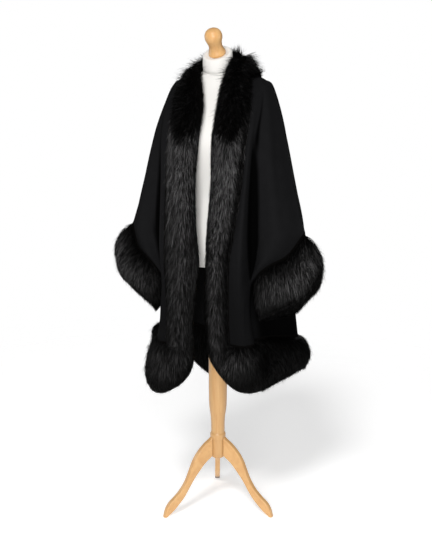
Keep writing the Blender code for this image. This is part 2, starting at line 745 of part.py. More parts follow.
def on_neck(x, y, height):
    return (
        x,
        KNOB_BASE_Y + y * math.cos(lean) - height * math.sin(lean),
        KNOB_BASE_Z + y * math.sin(lean) + height * math.cos(lean),
    )


lathe("knob", KNOB, on_neck, TURNED_SIDES, wood)
lathe("post", POST, lambda x, y, z: (x, y, z), TURNED_SIDES, wood)
lathe("boss", BOSS, lambda x, y, z: (x, y, z), TURNED_SIDES, wood)
for k, name in enumerate(("leg_left", "leg_back", "leg_right")):
    heading = STAND_TURN + math.radians(60.0 + 120.0 * k)
    rings_solid(name, leg_points(heading), len(LEG), 8, wood)
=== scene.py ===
# A black wool cape with a long-haired fur edge and fur-cuffed sleeve mouths, on a white jersey form
# with a turned knob, a turned post and three curved legs. Metres, +Z up, the open front faces -Y.
import json
import math

import bpy
import numpy as np
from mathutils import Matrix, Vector

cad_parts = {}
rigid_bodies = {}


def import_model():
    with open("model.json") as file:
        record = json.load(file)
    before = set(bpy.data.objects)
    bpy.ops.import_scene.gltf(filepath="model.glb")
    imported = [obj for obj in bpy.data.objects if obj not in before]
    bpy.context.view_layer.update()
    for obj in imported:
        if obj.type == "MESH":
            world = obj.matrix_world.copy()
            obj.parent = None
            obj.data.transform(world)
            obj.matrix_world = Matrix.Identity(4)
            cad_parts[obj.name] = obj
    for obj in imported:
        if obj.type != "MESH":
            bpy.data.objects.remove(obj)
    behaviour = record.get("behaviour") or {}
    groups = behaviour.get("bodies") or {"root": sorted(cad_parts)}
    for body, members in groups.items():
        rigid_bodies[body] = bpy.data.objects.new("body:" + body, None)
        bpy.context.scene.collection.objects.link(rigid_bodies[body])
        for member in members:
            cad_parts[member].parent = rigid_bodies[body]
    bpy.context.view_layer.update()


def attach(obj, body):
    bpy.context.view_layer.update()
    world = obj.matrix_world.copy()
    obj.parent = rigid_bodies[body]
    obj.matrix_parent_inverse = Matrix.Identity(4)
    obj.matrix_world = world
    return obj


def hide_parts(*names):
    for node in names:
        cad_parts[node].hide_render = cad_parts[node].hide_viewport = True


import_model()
depthShift = -0.025  # every piece lies this far along Y, as the solids do
print("frame loaded")


def unit(vectors):
    # each vector divided by its length
    return vectors / np.maximum(np.linalg.norm(vectors, axis=-1, keepdims=True), 1e-12)


def smoothThrough(points, knots, at):
    # cubic through points at their knots; the slope at each is the weighted mean of the slopes on both sides
    points, knots = np.asarray(points, float), np.asarray(knots, float)
    span = np.diff(knots)
    slope = np.diff(points, axis=0) / span[:, None]
    tangent = np.empty_like(points)
    tangent[0], tangent[-1] = slope[0], slope[-1]
    before, after = span[:-1, None], span[1:, None]
    tangent[1:-1] = (slope[:-1] * after + slope[1:] * before) / (before + after)
    at = np.asarray(at, float)
    k = np.clip(np.searchsorted(knots, at, side="right") - 1, 0, len(knots) - 2)
    h = span[k][:, None]
    f = ((at - knots[k]) / span[k])[:, None]
    return (points[k] * (2 * f**3 - 3 * f**2 + 1) + tangent[k] * h * (f**3 - 2 * f**2 + f)
            + points[k + 1] * (3 * f**2 - 2 * f**3) + tangent[k + 1] * h * (f**3 - f**2))


def stepped(knots, steps):
    # parameter values with so many equal steps from each knot to the next
    at = [knots[0]]
    for k, count in enumerate(steps):
        at += list(knots[k] + (knots[k + 1] - knots[k]) * np.arange(1, count + 1) / count)
    return np.array(at)


def along(points, steps):
    # samples of the smooth curve through the points, with knots by the square root of the chord
    points = np.asarray(points, float)
    chord = np.linalg.norm(np.diff(points, axis=0), axis=1)
    knots = np.concatenate([[0], np.cumsum(np.sqrt(chord) + 1e-6)])
    return smoothThrough(points, knots, stepped(knots, steps))


def alongEvenly(points, count, perKnot=24):
    # samples at equal distances along that curve, measured on a fine copy of it
    fine = along(points, [perKnot] * (len(points) - 1))
    run = np.concatenate([[0], np.cumsum(np.linalg.norm(np.diff(fine, axis=0), axis=1))])
    want = np.linspace(0, run[-1], count)
    return np.stack([np.interp(want, run, fine[:, axis]) for axis in range(3)], axis=1)


def runAcross(points):
    # distance of each point from the first one of its row, along the row
    steps = np.linalg.norm(np.diff(points, axis=1), axis=2)
    return np.concatenate([np.zeros((len(points), 1)), np.cumsum(steps, axis=1)], axis=1)


def gridNormals(grid):
    # cross product of the grid's two directions
    return unit(np.cross(np.gradient(grid, axis=0), np.gradient(grid, axis=1)))


def squareTo(vectors, axis):
    # each vector less its part along the unit axis, at unit length
    return unit(vectors - (vectors * axis).sum(axis=-1, keepdims=True) * axis)


def mirrored(values):
    # left and right exchanged
    return values * np.array([-1.0, 1.0, 1.0])


def ease(x, low, high):
    # smooth step from 0 at low to 1 at high
    t = np.clip((x - low) / (high - low), 0, 1)
    return t * t * (3 - 2 * t)


def quadGrid(rows, columns, ringRows=False, ringColumns=False, start=0):
    # corner numbers of the quads of a grid of points, row by row
    r = np.arange(rows if ringRows else rows - 1)
    c = np.arange(columns if ringColumns else columns - 1)
    r, c = [a.ravel() for a in np.meshgrid(r, c, indexing="ij")]
    r2, c2 = (r + 1) % rows, (c + 1) % columns
    return start + np.stack([r * columns + c, r2 * columns + c, r2 * columns + c2, r * columns + c2], axis=1)


def buildPiece(name, points, faceGroups, material, turnOut=True, sharpAngle=None):
    # a mesh object from a point array and arrays of faces, each group with one number of corners
    points = np.asarray(points, float) + (0.0, depthShift, 0.0)
    groups = [np.asarray(g) for g in faceGroups if len(g)]
    if turnOut:  # signed volume of the fans of all faces: negative means inside out
        volume = sum(
            np.einsum("ij,ij->", points[g[:, 0]], np.cross(points[g[:, k]], points[g[:, k + 1]]))
            for g in groups for k in range(1, g.shape[1] - 1)
        )
        if volume < 0:
            groups = [g[:, ::-1] for g in groups]
    mesh = bpy.data.meshes.new(name)
    corners = np.concatenate([g.ravel() for g in groups]).astype(np.int32)
    sizes = np.concatenate([np.full(len(g), g.shape[1]) for g in groups]).astype(np.int32)
    mesh.vertices.add(len(points))
    mesh.vertices.foreach_set("co", points.astype(np.float32).ravel())
    mesh.loops.add(len(corners))
    mesh.loops.foreach_set("vertex_index", corners)
    mesh.polygons.add(len(sizes))
    mesh.polygons.foreach_set("loop_start", np.concatenate([[0], np.cumsum(sizes)[:-1]]).astype(np.int32))
    mesh.polygons.foreach_set("loop_total", sizes)
    mesh.polygons.foreach_set("use_smooth", np.ones(len(sizes), bool))
    mesh.update(calc_edges=True)
    mesh.validate()
    if sharpAngle:
        mesh.set_sharp_from_angle(angle=math.radians(sharpAngle))
    mesh.materials.append(material)
    piece = bpy.data.objects.new(name, mesh)
    bpy.context.scene.collection.objects.link(piece)
    return piece


def shellPiece(name, grid, normal, wall, material):
    # a closed sheet: the grid moved out and in along its normals by half the wall, joined at its rim
    rows, columns = grid.shape[:2]
    out = normal * wall / 2
    points = np.concatenate([(grid + out).reshape(-1, 3), (grid - out).reshape(-1, 3)])
    count = rows * columns
    outer = quadGrid(rows, columns)
    inner = quadGrid(rows, columns, start=count)[:, ::-1]
    index = np.arange(count).reshape(rows, columns)
    rim = np.concatenate([index[:, 0], index[-1, 1:], index[-2::-1, -1], index[0, -2:0:-1]])
    after = np.roll(rim, -1)
    edge = np.stack([rim, rim + count, after + count, after], axis=1)
    return buildPiece(name, points, [outer, inner, edge], material, sharpAngle=55)


def tubePiece(name, rings, material, closed=False, sharpAngle=None):
    # a closed solid through equal rings of points, its ends closed by fans unless the tube is a ring itself
    count, sides = rings.shape[:2]
    points = rings.reshape(-1, 3)
    quads = quadGrid(count, sides, ringRows=closed, ringColumns=True)
    fans = []
    if not closed:
        middle = np.stack([rings[0].mean(axis=0), rings[-1].mean(axis=0)])
        points = np.concatenate([points, middle])
        s = np.arange(sides)
        t = (s + 1) % sides
        first, last = count * sides, count * sides + 1
        base = (count - 1) * sides
        fans = np.concatenate([
            np.stack([np.full(sides, first), s, t], axis=1),
            np.stack([np.full(sides, last), base + t, base + s], axis=1),
        ])
    return buildPiece(name, points, [quads, fans], material, sharpAngle=sharpAngle)


class Wire:  # one socket: a sum, product or power of it adds its Math node
    def __init__(self, finish, socket):
        self.finish, self.socket = finish, socket

    def worked(self, operation, other):
        # the result of one operation on this socket and another, or a number
        return self.finish.node("ShaderNodeMath", {"operation": operation}, {0: self, 1: other})["Value"]

    def __add__(self, other):
        return self.worked("ADD", other)

    def __mul__(self, other):
        return self.worked("MULTIPLY", other)

    def __pow__(self, other):
        return self.worked("POWER", other)

    __radd__, __rmul__ = __add__, __mul__


class Outputs:  # a node's outputs by name
    def __init__(self, finish, item):
        self.finish, self.item = finish, item

    def __getitem__(self, name):
        return Wire(self.finish, self.item.outputs[name])


class Finish:  # a material with a Principled surface, its constants set on the sockets
    def __init__(self, name, shown, **constants):
        self.material = bpy.data.materials.new(name)
        self.material.use_nodes = True
        self.material.diffuse_color = (*shown, 1.0)
        self.tree = self.material.node_tree
        self.surface = self.tree.nodes["Principled BSDF"]
        self.surface.inputs["Base Color"].default_value = (*shown, 1.0)
        for socket, value in constants.items():
            self.surface.inputs[socket.replace("_", " ")].default_value = value

    def node(self, kind, settings, values):
        # one node: its settings first, then the values or links of its inputs
        item = self.tree.nodes.new(kind)
        for key, value in settings.items():
            setattr(item, key, value)
        for key, value in values.items():
            if isinstance(value, Wire):
                self.tree.links.new(value.socket, item.inputs[key])
            else:
                item.inputs[key].default_value = value
        return Outputs(self, item)

    def feed(self, socket, wire):
        # the wire into one of the surface's sockets
        self.tree.links.new(wire.socket, self.surface.inputs[socket])

    def place(self):
        # where on the object a point lies, in metres
        return self.node("ShaderNodeTexCoord", {}, {})["Object"]

    def stretched(self, scale):
        # the place times a scale for each axis
        return self.node("ShaderNodeMapping", {}, {"Vector": self.place(), "Scale": scale})["Vector"]

    def noise(self, scale, detail=3.0, roughness=0.5, vector=None, distortion=0.0):
        # soft noise from 0 to 1
        return self.node("ShaderNodeTexNoise", {}, {
            "Vector": vector or self.place(), "Scale": scale, "Detail": detail,
            "Roughness": roughness, "Distortion": distortion})["Fac"]

    def blendColours(self, share, first, second):
        # the first colour at share 0, the second at share 1
        mix = self.node("ShaderNodeMix", {"data_type": "RGBA"}, {0: share, 6: first, 7: second})
        return Wire(self, mix.item.outputs[2])

    def ranged(self, value, low, high, **settings):
        # 0 at low to 1 at high
        ends = {"Value": value, "From Min": low, "From Max": high}
        return self.node("ShaderNodeMapRange", settings, ends)["Result"]

    def emboss(self, height, strength, distance):
        # bumps of that height on the surface
        bump = self.node("ShaderNodeBump", {}, {"Height": height, "Strength": strength, "Distance": distance})
        self.feed("Normal", bump["Normal"])


def colour(r, g, b):
    # an opaque colour
    return (r, g, b, 1.0)


woolLook = {
    "deep": (0.0056, 0.0056, 0.0060), "nap": (0.0108, 0.0108, 0.0115),
    # painted shade: the colour of the cloth where shade falls, deep in a fold
    "hidden": (0.0004, 0.0004, 0.0004),  # deep in a fold
    "cloudScale": 26.0, "cloudShare": 0.45, "fibreScale": 620.0, "fibreShare": 0.55,
    "cloudRelief": 0.4, "relief": 0.35, "fibreDepth": 0.0005,
}
wool = Finish("brushed_wool", (0.008, 0.008, 0.009), Roughness=0.92, Specular_IOR_Level=0.02)
cloud = wool.noise(woolLook["cloudScale"], detail=4.0)
fibre = wool.noise(woolLook["fibreScale"], detail=3.0, roughness=0.7, distortion=1.2)
# a point attribute paints shade into the cloth: from the brushed colour to the painted shade colour, deep in
# folds and troughs, low on the fronts and under the cuffs
paintedShade = wool.node("ShaderNodeAttribute", {"attribute_name": "paintedShade"}, {})["Fac"]
brushed = wool.blendColours(cloud * woolLook["cloudShare"] + fibre * woolLook["fibreShare"],
                            colour(*woolLook["deep"]), colour(*woolLook["nap"]))
wool.feed("Base Color", wool.blendColours(paintedShade, brushed, colour(*woolLook["hidden"])))
wool.emboss(fibre + cloud * woolLook["cloudRelief"], woolLook["relief"], woolLook["fibreDepth"])

# the hairs go from the dark root to the light tip colour by the tone attribute; the light tips are partly the
# fur's own, partly painted highlight, and the tone carries painted light and shade
hairLook = {"root": (0.0002, 0.0002, 0.0002), "middle": (0.0010, 0.0009, 0.0008), "tip": (0.22, 0.215, 0.217)}
hair = Finish("long_fur", (0.006, 0.0055, 0.005), Roughness=0.34, Specular_IOR_Level=0.05)
toneAndPaintedLight = hair.node("ShaderNodeAttribute", {"attribute_name": "toneAndPaintedLight"}, {})["Fac"]
reach = hair.node("ShaderNodeAttribute", {"attribute_name": "reach"}, {})["Fac"]
body = hair.blendColours(reach, colour(*hairLook["root"]), colour(*hairLook["middle"]))
hair.feed("Base Color", hair.blendColours(toneAndPaintedLight * reach, body, colour(*hairLook["tip"])))

peltLook = {
    "skin": (0.0008, 0.0006, 0.0005), "wool": (0.0020, 0.0017, 0.0015),
    "tuftScale": 420.0, "tuftStretch": (1.0, 1.0, 0.25), "relief": 0.8, "tuftDepth": 0.004,
}
pelt = Finish("fur_ground", (0.004, 0.0035, 0.003), Roughness=1.0, Specular_IOR_Level=0.05)
tuft = pelt.noise(peltLook["tuftScale"], detail=4.0, roughness=0.7,
                  vector=pelt.stretched(peltLook["tuftStretch"]))
pelt.feed("Base Color", pelt.blendColours(tuft, colour(*peltLook["skin"]), colour(*peltLook["wool"])))
pelt.emboss(tuft, peltLook["relief"], peltLook["tuftDepth"])

jerseyLook = {
    "light": (0.875, 0.862, 0.835), "shade": (0.83, 0.803, 0.762),
    "stitch": 0.0016, "waveUnit": 0.314,  # a wave texture of scale 1 repeats every 0.314 m
    "upright": 0.6, "level": 0.4, "driftScale": 9.0, "drift": 0.5, "knit": 0.5,
    "relief": 0.35, "stitchDepth": 0.0006,
}
jersey = Finish("knitted_jersey", (0.86, 0.85, 0.83), Roughness=0.85, Specular_IOR_Level=0.2,
                Sheen_Weight=0.15)


def stitchBands(way):
    # soft bands one stitch wide, side by side along X or Z
    return jersey.node("ShaderNodeTexWave", {"wave_type": "BANDS", "bands_direction": way}, {
        "Vector": jersey.place(), "Scale": jerseyLook["waveUnit"] / jerseyLook["stitch"],
        "Distortion": 0.8, "Detail": 1.0, "Detail Scale": 2.0})["Fac"]


knit = stitchBands("X") * jerseyLook["upright"] + stitchBands("Z") * jerseyLook["level"]
drift = jersey.noise(jerseyLook["driftScale"], detail=3.0)
jersey.feed("Base Color", jersey.blendColours(knit * jerseyLook["knit"] + drift * jerseyLook["drift"],
                                              colour(*jerseyLook["shade"]), colour(*jerseyLook["light"])))
jersey.emboss(knit, jerseyLook["relief"], jerseyLook["stitchDepth"])

woodLook = {
    "pale": (0.77, 0.46, 0.190), "warm": (0.66, 0.35, 0.128), "pore": (0.52, 0.265, 0.095),
    # painted shade at a foot's end: its colour, how much of it and how far it fades up
    "stain": (0.035, 0.018, 0.010), "stainShare": 0.85, "stainFade": 0.6,
    "streaks": (0.32, 0.70), "pores": (0.60, 0.74), "poreShare": 0.35, "poreScale": 5.0, "poreRelief": 0.5,
    "roughness": 0.36, "grainRoughness": 0.14, "relief": 0.12, "grainDepth": 0.0005,
}


def woodFinish(name, stretch, light=1.0, darkEnd=None):
    # long soft streaks along the grain with short darker pores, under a satin varnish; all its colours scaled
    # by light: a scale above one is painted light, below one painted shade
    wood = Finish(name, (0.8, 0.56, 0.3), Roughness=0.42, Coat_Weight=0.25, Coat_Roughness=0.25)
    finer = tuple(woodLook["poreScale"] * s for s in stretch)
    grain = wood.noise(1.0, detail=5.0, roughness=0.6, vector=wood.stretched(stretch), distortion=0.6)
    pores = wood.noise(1.0, detail=2.0, roughness=0.5, vector=wood.stretched(finer))
    flecks = wood.ranged(pores, *woodLook["pores"])
    streak = wood.ranged(grain, *woodLook["streaks"])
    pale, warm, pore = [colour(*(light * v for v in woodLook[k])) for k in ("pale", "warm", "pore")]
    base = wood.blendColours(streak, pale, warm)
    base = wood.blendColours(flecks * woodLook["poreShare"], base, pore)
    if darkEnd:  # painted shade from the floor up to this height
        height = wood.node("ShaderNodeSeparateXYZ", {}, {"Vector": wood.place()})["Z"]
        stain = wood.ranged(height, darkEnd, darkEnd * woodLook["stainFade"])
        base = wood.blendColours(stain * woodLook["stainShare"], base, colour(*woodLook["stain"]))
    wood.feed("Base Color", base)
    wood.feed("Roughness", woodLook["roughness"] + grain * woodLook["grainRoughness"])
    wood.emboss(grain + pores * woodLook["poreRelief"], woodLook["relief"], woodLook["grainDepth"])
    return wood.material


# painted shade on the post and boss, painted light on the knob, by the scale of their colours
turnedWood = woodFinish("turned_beech", (60.0, 60.0, 5.0), 0.76)
knobWood = woodFinish("knob_beech", (60.0, 60.0, 9.0), 1.08)
print("finishes made")


# the cape's cloth in rows down and named columns across; what is on the right is written as if it were
# on the left, and mirrored when its mesh is made
cape = {
    "wall": 0.0018, "seamGap": 0.0003,
    "mouthTop": 5, "mouthFoot": 10, "hemRow": 12,  # rows of the tables, counted down from 0 at the neck
    "rowSteps": (6, 6, 12, 12, 12, 6, 6, 6, 6, 6, 9, 9),  # steps of this script from each row to the next
    "frontSteps": (8, 12, 12, 8), "backSteps": (8, 8, 12, 12, 12),
    "finer": 4,  # steps of this script for one step of the solids, across a panel
    "backFall": ((9, 1.1), (12, 1.7)),  # row, and the power by which the back's rows fall toward the centre
}
# front edge of each side, row by row: the fur's free edge, then the seam where the cloth starts
edgeColumns = ("edgeX", "edgeY", "edgeZ", "seamX", "seamY", "seamZ")
frontEdge = {
    "left": (
        (0.056, -0.030, 1.592, 0.112, -0.012, 1.545),
        (0.049, -0.078, 1.532, 0.136, -0.062, 1.492),
        (0.047, -0.122, 1.452, 0.146, -0.092, 1.430),
        (0.045, -0.160, 1.340, 0.142, -0.117, 1.330),
        (0.045, -0.168, 1.200, 0.136, -0.135, 1.200),
        (0.036, -0.178, 1.055, 0.119, -0.152, 1.055),
        (0.034, -0.182, 0.985, 0.108, -0.160, 0.985),
        (0.033, -0.185, 0.935, 0.104, -0.165, 0.935),
        (0.032, -0.187, 0.885, 0.103, -0.168, 0.885),
        (0.032, -0.188, 0.840, 0.104, -0.170, 0.840),
        (0.032, -0.189, 0.795, 0.105, -0.172, 0.795),
        (0.035, -0.190, 0.735, 0.107, -0.174, 0.735),
        (0.042, -0.190, 0.672, 0.111, -0.175, 0.668),
    ),
    "right": (
        (0.054, -0.034, 1.572, 0.112, -0.012, 1.545),
        (0.028, -0.082, 1.532, 0.120, -0.066, 1.492),
        (0.002, -0.128, 1.452, 0.122, -0.098, 1.430),
        (0.004, -0.164, 1.340, 0.130, -0.122, 1.330),
        (0.014, -0.170, 1.200, 0.131, -0.136, 1.200),
        (0.007, -0.180, 1.055, 0.130, -0.152, 1.055),
        (-0.002, -0.184, 0.985, 0.129, -0.160, 0.985),
        (-0.005, -0.187, 0.935, 0.128, -0.164, 0.935),
        (-0.002, -0.189, 0.885, 0.124, -0.167, 0.885),
        (0.004, -0.190, 0.840, 0.120, -0.169, 0.840),
        (0.010, -0.191, 0.795, 0.118, -0.171, 0.795),
        (0.014, -0.192, 0.735, 0.117, -0.173, 0.735),
        (0.015, -0.192, 0.672, 0.117, -0.174, 0.650),
    ),
}
# front panel from the fur seam outward: crest of the tube fold, valley, crown of the wing, border
frontColumns = ("crestX", "crestY", "valleyX", "valleyY", "wingX", "wingY", "borderX", "borderY", "borderZ")
frontRows = (
    (0.115, -0.003, 0.119, 0.008, 0.122, 0.019, 0.125, 0.030, 1.549),
    (0.143, -0.040, 0.149, -0.012, 0.154, 0.010, 0.155, 0.032, 1.533),
    (0.156, -0.074, 0.166, -0.045, 0.176, -0.010, 0.1785, 0.033, 1.514),
    (0.156, -0.117, 0.164, -0.096, 0.202, -0.056, 0.222, 0.020, 1.400),
    (0.151, -0.140, 0.163, -0.100, 0.226, -0.090, 0.260, 0.000, 1.235),
    (0.146, -0.162, 0.164, -0.098, 0.248, -0.118, 0.3165, -0.0235, 1.034),
    (0.144, -0.169, 0.164, -0.098, 0.222, -0.122, 0.276, -0.070, 0.966),
    (0.143, -0.172, 0.164, -0.100, 0.200, -0.124, 0.230, -0.102, 0.938),
    (0.144, -0.173, 0.164, -0.106, 0.182, -0.117, 0.196, -0.112, 0.912),
    (0.146, -0.174, 0.164, -0.122, 0.167, -0.110, 0.171, -0.101, 0.880),
    (0.148, -0.174, 0.165, -0.136, 0.160, -0.100, 0.153, -0.070, 0.850),
    (0.150, -0.174, 0.168, -0.144, 0.162, -0.108, 0.147, -0.072, 0.760),
    (0.156, -0.174, 0.178, -0.148, 0.179, -0.114, 0.162, -0.080, 0.664),
)
# back panel from its border inward: the turn, the side, two folds, the centre
backColumns = ("borderX", "borderY", "borderZ", "turnX", "turnY", "sideX", "sideY",
               "outerX", "outerY", "innerX", "innerY", "centreY", "centreZ")
backRows = (
    (0.125, 0.030, 1.549, 0.122, 0.044, 0.115, 0.060, 0.092, 0.080, 0.052, 0.095, 0.100, 1.545),
    (0.155, 0.032, 1.533, 0.155, 0.050, 0.150, 0.070, 0.124, 0.098, 0.070, 0.118, 0.122, 1.498),
    (0.1785, 0.033, 1.514, 0.180, 0.056, 0.175, 0.080, 0.146, 0.118, 0.082, 0.136, 0.137, 1.440),
    (0.222, 0.020, 1.400, 0.217, 0.052, 0.207, 0.086, 0.170, 0.140, 0.092, 0.152, 0.149, 1.330),
    (0.260, 0.000, 1.235, 0.252, 0.040, 0.240, 0.086, 0.195, 0.152, 0.102, 0.168, 0.159, 1.200),
    (0.3165, -0.0235, 1.034, 0.301, 0.030, 0.278, 0.092, 0.215, 0.168, 0.112, 0.186, 0.172, 1.055),
    (0.306, 0.020, 0.968, 0.298, 0.062, 0.276, 0.108, 0.219, 0.176, 0.115, 0.194, 0.180, 0.985),
    (0.286, 0.050, 0.916, 0.282, 0.080, 0.266, 0.116, 0.219, 0.180, 0.116, 0.200, 0.187, 0.932),
    (0.250, 0.052, 0.880, 0.256, 0.084, 0.255, 0.122, 0.216, 0.184, 0.117, 0.205, 0.192, 0.880),
    (0.206, 0.020, 0.858, 0.226, 0.066, 0.246, 0.118, 0.214, 0.187, 0.118, 0.210, 0.197, 0.830),
    (0.153, -0.070, 0.850, 0.174, 0.012, 0.241, 0.104, 0.213, 0.188, 0.119, 0.214, 0.201, 0.785),
    (0.147, -0.072, 0.760, 0.168, 0.008, 0.243, 0.102, 0.214, 0.192, 0.120, 0.221, 0.208, 0.680),
    (0.162, -0.080, 0.664, 0.188, 0.002, 0.256, 0.094, 0.222, 0.198, 0.124, 0.230, 0.217, 0.556),
)
tubeShift = {  # the tube fold is narrower on the wearer's right, row by row
    "left": (0.0,) * len(frontRows),
    "right": (0.0, 0.0, 0.0, 0.0, -0.002, -0.001, 0.0, -0.003, -0.008, -0.013, -0.013, -0.013, -0.013),
}
creaseShape = {
    "fadeIn": 0.35, "fadeOut": 0.70,  # shares of a crease's length
    "wander": 0.12, "waves": 5.1,  # how far it strays, in columns, and how often
    "evenFrom": 11.2, "evenShare": 0.9,  # the row from which the hem's edge is drawn even
    "rim": 0.012,  # width of the calm strip at both side edges
}
# soft creases: first and last row, column at each end in the solids' steps, half width and height in metres;
# a front's columns run from 0 at the seam to 10, the back's from 0 at the border to 13; troughs are negative
frontCreases = {
    "left": (
        (1.7, 3.5, 6.6, 6.1, 0.010, -0.0050),
        (1.9, 4.4, 8.2, 7.6, 0.016, 0.0035),
        (2.6, 5.4, 9.0, 8.4, 0.018, -0.0030),
        (4.2, 6.6, 6.2, 6.8, 0.016, 0.0030),
        (5.0, 9.6, 1.1, 1.5, 0.006, -0.0022),
        (9.6, 12.0, 3.2, 2.6, 0.006, 0.0018),
        (9.8, 12.0, 7.2, 7.8, 0.008, -0.0020),
    ),
    "right": (
        (1.6, 3.1, 6.9, 6.4, 0.010, -0.0040),
        (2.2, 5.0, 7.9, 7.3, 0.020, 0.0040),
        (3.0, 5.8, 9.2, 8.7, 0.016, -0.0030),
        (4.4, 6.9, 6.3, 7.0, 0.015, -0.0026),
        (4.6, 8.8, 1.2, 1.4, 0.006, -0.0020),
        (9.8, 12.0, 3.0, 2.5, 0.007, 0.0018),
        (10.0, 12.0, 7.0, 7.6, 0.008, -0.0018),
    ),
}
backCreases = {
    "left": (
        (1.2, 4.8, 3.0, 3.8, 0.016, -0.0045),
        (2.4, 7.5, 5.2, 4.9, 0.020, 0.0050),
        (3.2, 10.5, 8.3, 7.9, 0.022, -0.0060),
        (5.5, 12.0, 10.6, 10.2, 0.020, 0.0050),
        (6.5, 11.2, 2.9, 3.9, 0.014, -0.0040),
        (1.0, 3.4, 10.2, 10.9, 0.018, -0.0030),
        (8.4, 12.0, 6.2, 5.8, 0.014, -0.0038),
    ),
    "right": (
        (1.3, 5.6, 3.3, 4.2, 0.018, -0.0042),
        (2.8, 8.4, 5.6, 5.0, 0.018, 0.0046),
        (2.6, 9.6, 8.6, 8.1, 0.024, -0.0065),
        (4.8, 12.0, 10.9, 10.3, 0.022, 0.0050),
        (6.8, 12.0, 2.6, 3.6, 0.015, -0.0042),
        (1.2, 4.1, 10.6, 11.2, 0.018, -0.0026),
        (7.8, 12.0, 6.5, 6.2, 0.016, -0.0036),
    ),
}
paintedFoldShade = {  # painted shade: how much of the dark shade colour the cloth takes, by how far it lies back in a fold
    "spans": ((5, 0.016), (9, 0.032)),  # columns to either side, and the depth behind them that counts as one
    "front": 0.98, "frontDepth": (0.05, 0.75), "frontMost": 0.98,
    "tube": 0.42, "tubeTop": 1.05, "tubeFade": 0.30,  # painted shade: the fronts darken downward from this height
    "back": 0.45, "backDepth": (0.10, 1.2), "backMost": 0.95,
    # painted shade in the creases' troughs, and at the back's sides low down under the cuffs
    "trough": 0.70, "troughDepth": (-0.0030, 0.0055),
    "underCuff": 0.80, "cuffSide": (0.130, 0.225), "cuffFoot": 0.850, "cuffFade": 0.140,
}
# where this script's rows lie among the tables' rows
marks = stepped(np.arange(cape["hemRow"] + 1.0), cape["rowSteps"])
topRow = int(np.argmin(abs(marks - cape["mouthTop"])))
footRow = int(np.argmin(abs(marks - cape["mouthFoot"])))


def fineRows(table):
    # the table's columns as smooth curves over the row numbers
    table = np.asarray(table, float)
    return smoothThrough(table, np.arange(len(table)), marks)


def borderCurve(table, columns):
    # three smooth curves that meet at the top and foot of the sleeve mouth
    points = np.asarray(table, float)[:, [columns.index(n) for n in ("borderX", "borderY", "borderZ")]]
    found = np.empty((len(marks), 3))
    stops = (0, cape["mouthTop"], cape["mouthFoot"], cape["hemRow"])
    for first, last in zip(stops[:-1], stops[1:]):
        inside = (marks >= first) & (marks <= last)
        found[inside] = smoothThrough(points[first:last + 1], np.arange(first, last + 1), marks[inside])
    return found


def frontGrid(side):
    # rows down, columns from the fur seam to the border; the height falls evenly with the distance across
    edge = dict(zip(edgeColumns, fineRows(frontEdge[side]).T))
    sheet = dict(zip(frontColumns, fineRows(frontRows).T))
    border = borderCurve(frontRows, frontColumns)
    shift = np.interp(marks, np.arange(len(frontRows)), tubeShift[side])
    plans = np.stack([
        np.column_stack([edge["seamX"], edge["seamY"]]),
        np.column_stack([sheet["crestX"] + shift, sheet["crestY"]]),
        np.column_stack([sheet["valleyX"] + shift, sheet["valleyY"]]),
        np.column_stack([sheet["wingX"], sheet["wingY"]]),
        border[:, :2],
    ], axis=1)
    run = runAcross(plans)
    height = edge["seamZ"][:, None] + (border[:, 2] - edge["seamZ"])[:, None] * run / run[:, -1:]
    return np.array([along(np.column_stack([p, z]), cape["frontSteps"]) for p, z in zip(plans, height)])


def backGrid():
    # half of the back: rows down, columns from the border to the centre
    sheet = dict(zip(backColumns, fineRows(backRows).T))
    border = borderCurve(backRows, backColumns)
    between = [np.column_stack([sheet[n + "X"], sheet[n + "Y"]]) for n in ("turn", "side", "outer", "inner")]
    centre = np.column_stack([np.zeros(len(marks)), sheet["centreY"]])
    plans = np.stack([border[:, :2], *between, centre], axis=1)
    run = runAcross(plans)
    # near the hem the height stays up longer at the sides
    power = np.interp(marks, *zip(*cape["backFall"]))[:, None]
    height = border[:, 2:] + (sheet["centreZ"] - border[:, 2])[:, None] * (run / run[:, -1:]) ** power
    return np.array([along(np.column_stack([p, z]), cape["backSteps"]) for p, z in zip(plans, height)])


def creased(grid, normal, creases):
    # along each crease a bell-shaped trough or ridge, faded at both ends, by the distance across the row
    width = runAcross(grid)
    shift = np.zeros(grid.shape[:2])
    columns = np.arange(grid.shape[1])
    for first, last, start, end, half, height in creases:
        t = np.clip((marks - first) / (last - first), 0, 1)
        fade = ease(t, 0, creaseShape["fadeIn"])
        fade = fade * (1 - ease(t, creaseShape["fadeOut"], 1.0) * (last < cape["hemRow"]))
        fade = fade * (marks >= first) * (marks <= last)
        stray = creaseShape["wander"] * np.sin(creaseShape["waves"] * t + first)
        place = (start + (end - start) * t + stray) * cape["finer"]
        at = np.array([np.interp(p, columns, w) for p, w in zip(place, width)])
        shift += height * fade[:, None] * np.exp(-((width - at[:, None]) / half) ** 2)
    # the creases calm down toward the hem's band and toward both side edges
    shift *= 1 - creaseShape["evenShare"] * ease(marks, creaseShape["evenFrom"], cape["hemRow"])[:, None]
    rim = np.minimum(width, width[:, -1:] - width)
    shift *= ease(rim, 0.0, creaseShape["rim"])
    return grid + normal * shift[..., None], shift


def edgePull(edge, within):
    # a seam's gap, square to the edge and toward the sheet
    return squareTo(within - edge, unit(np.gradient(edge, axis=0))) * cape["seamGap"]


def drawnIn(grid):
    # the sheet with all four edges pulled back by the seam's gap
    moved = grid.copy()
    moved[0] += edgePull(grid[0], grid[1])
    moved[-1] += edgePull(grid[-1], grid[-2])
    moved[:, 0] += edgePull(grid[:, 0], grid[:, 1])
    moved[:, -1] += edgePull(grid[:, -1], grid[:, -2])
    return moved


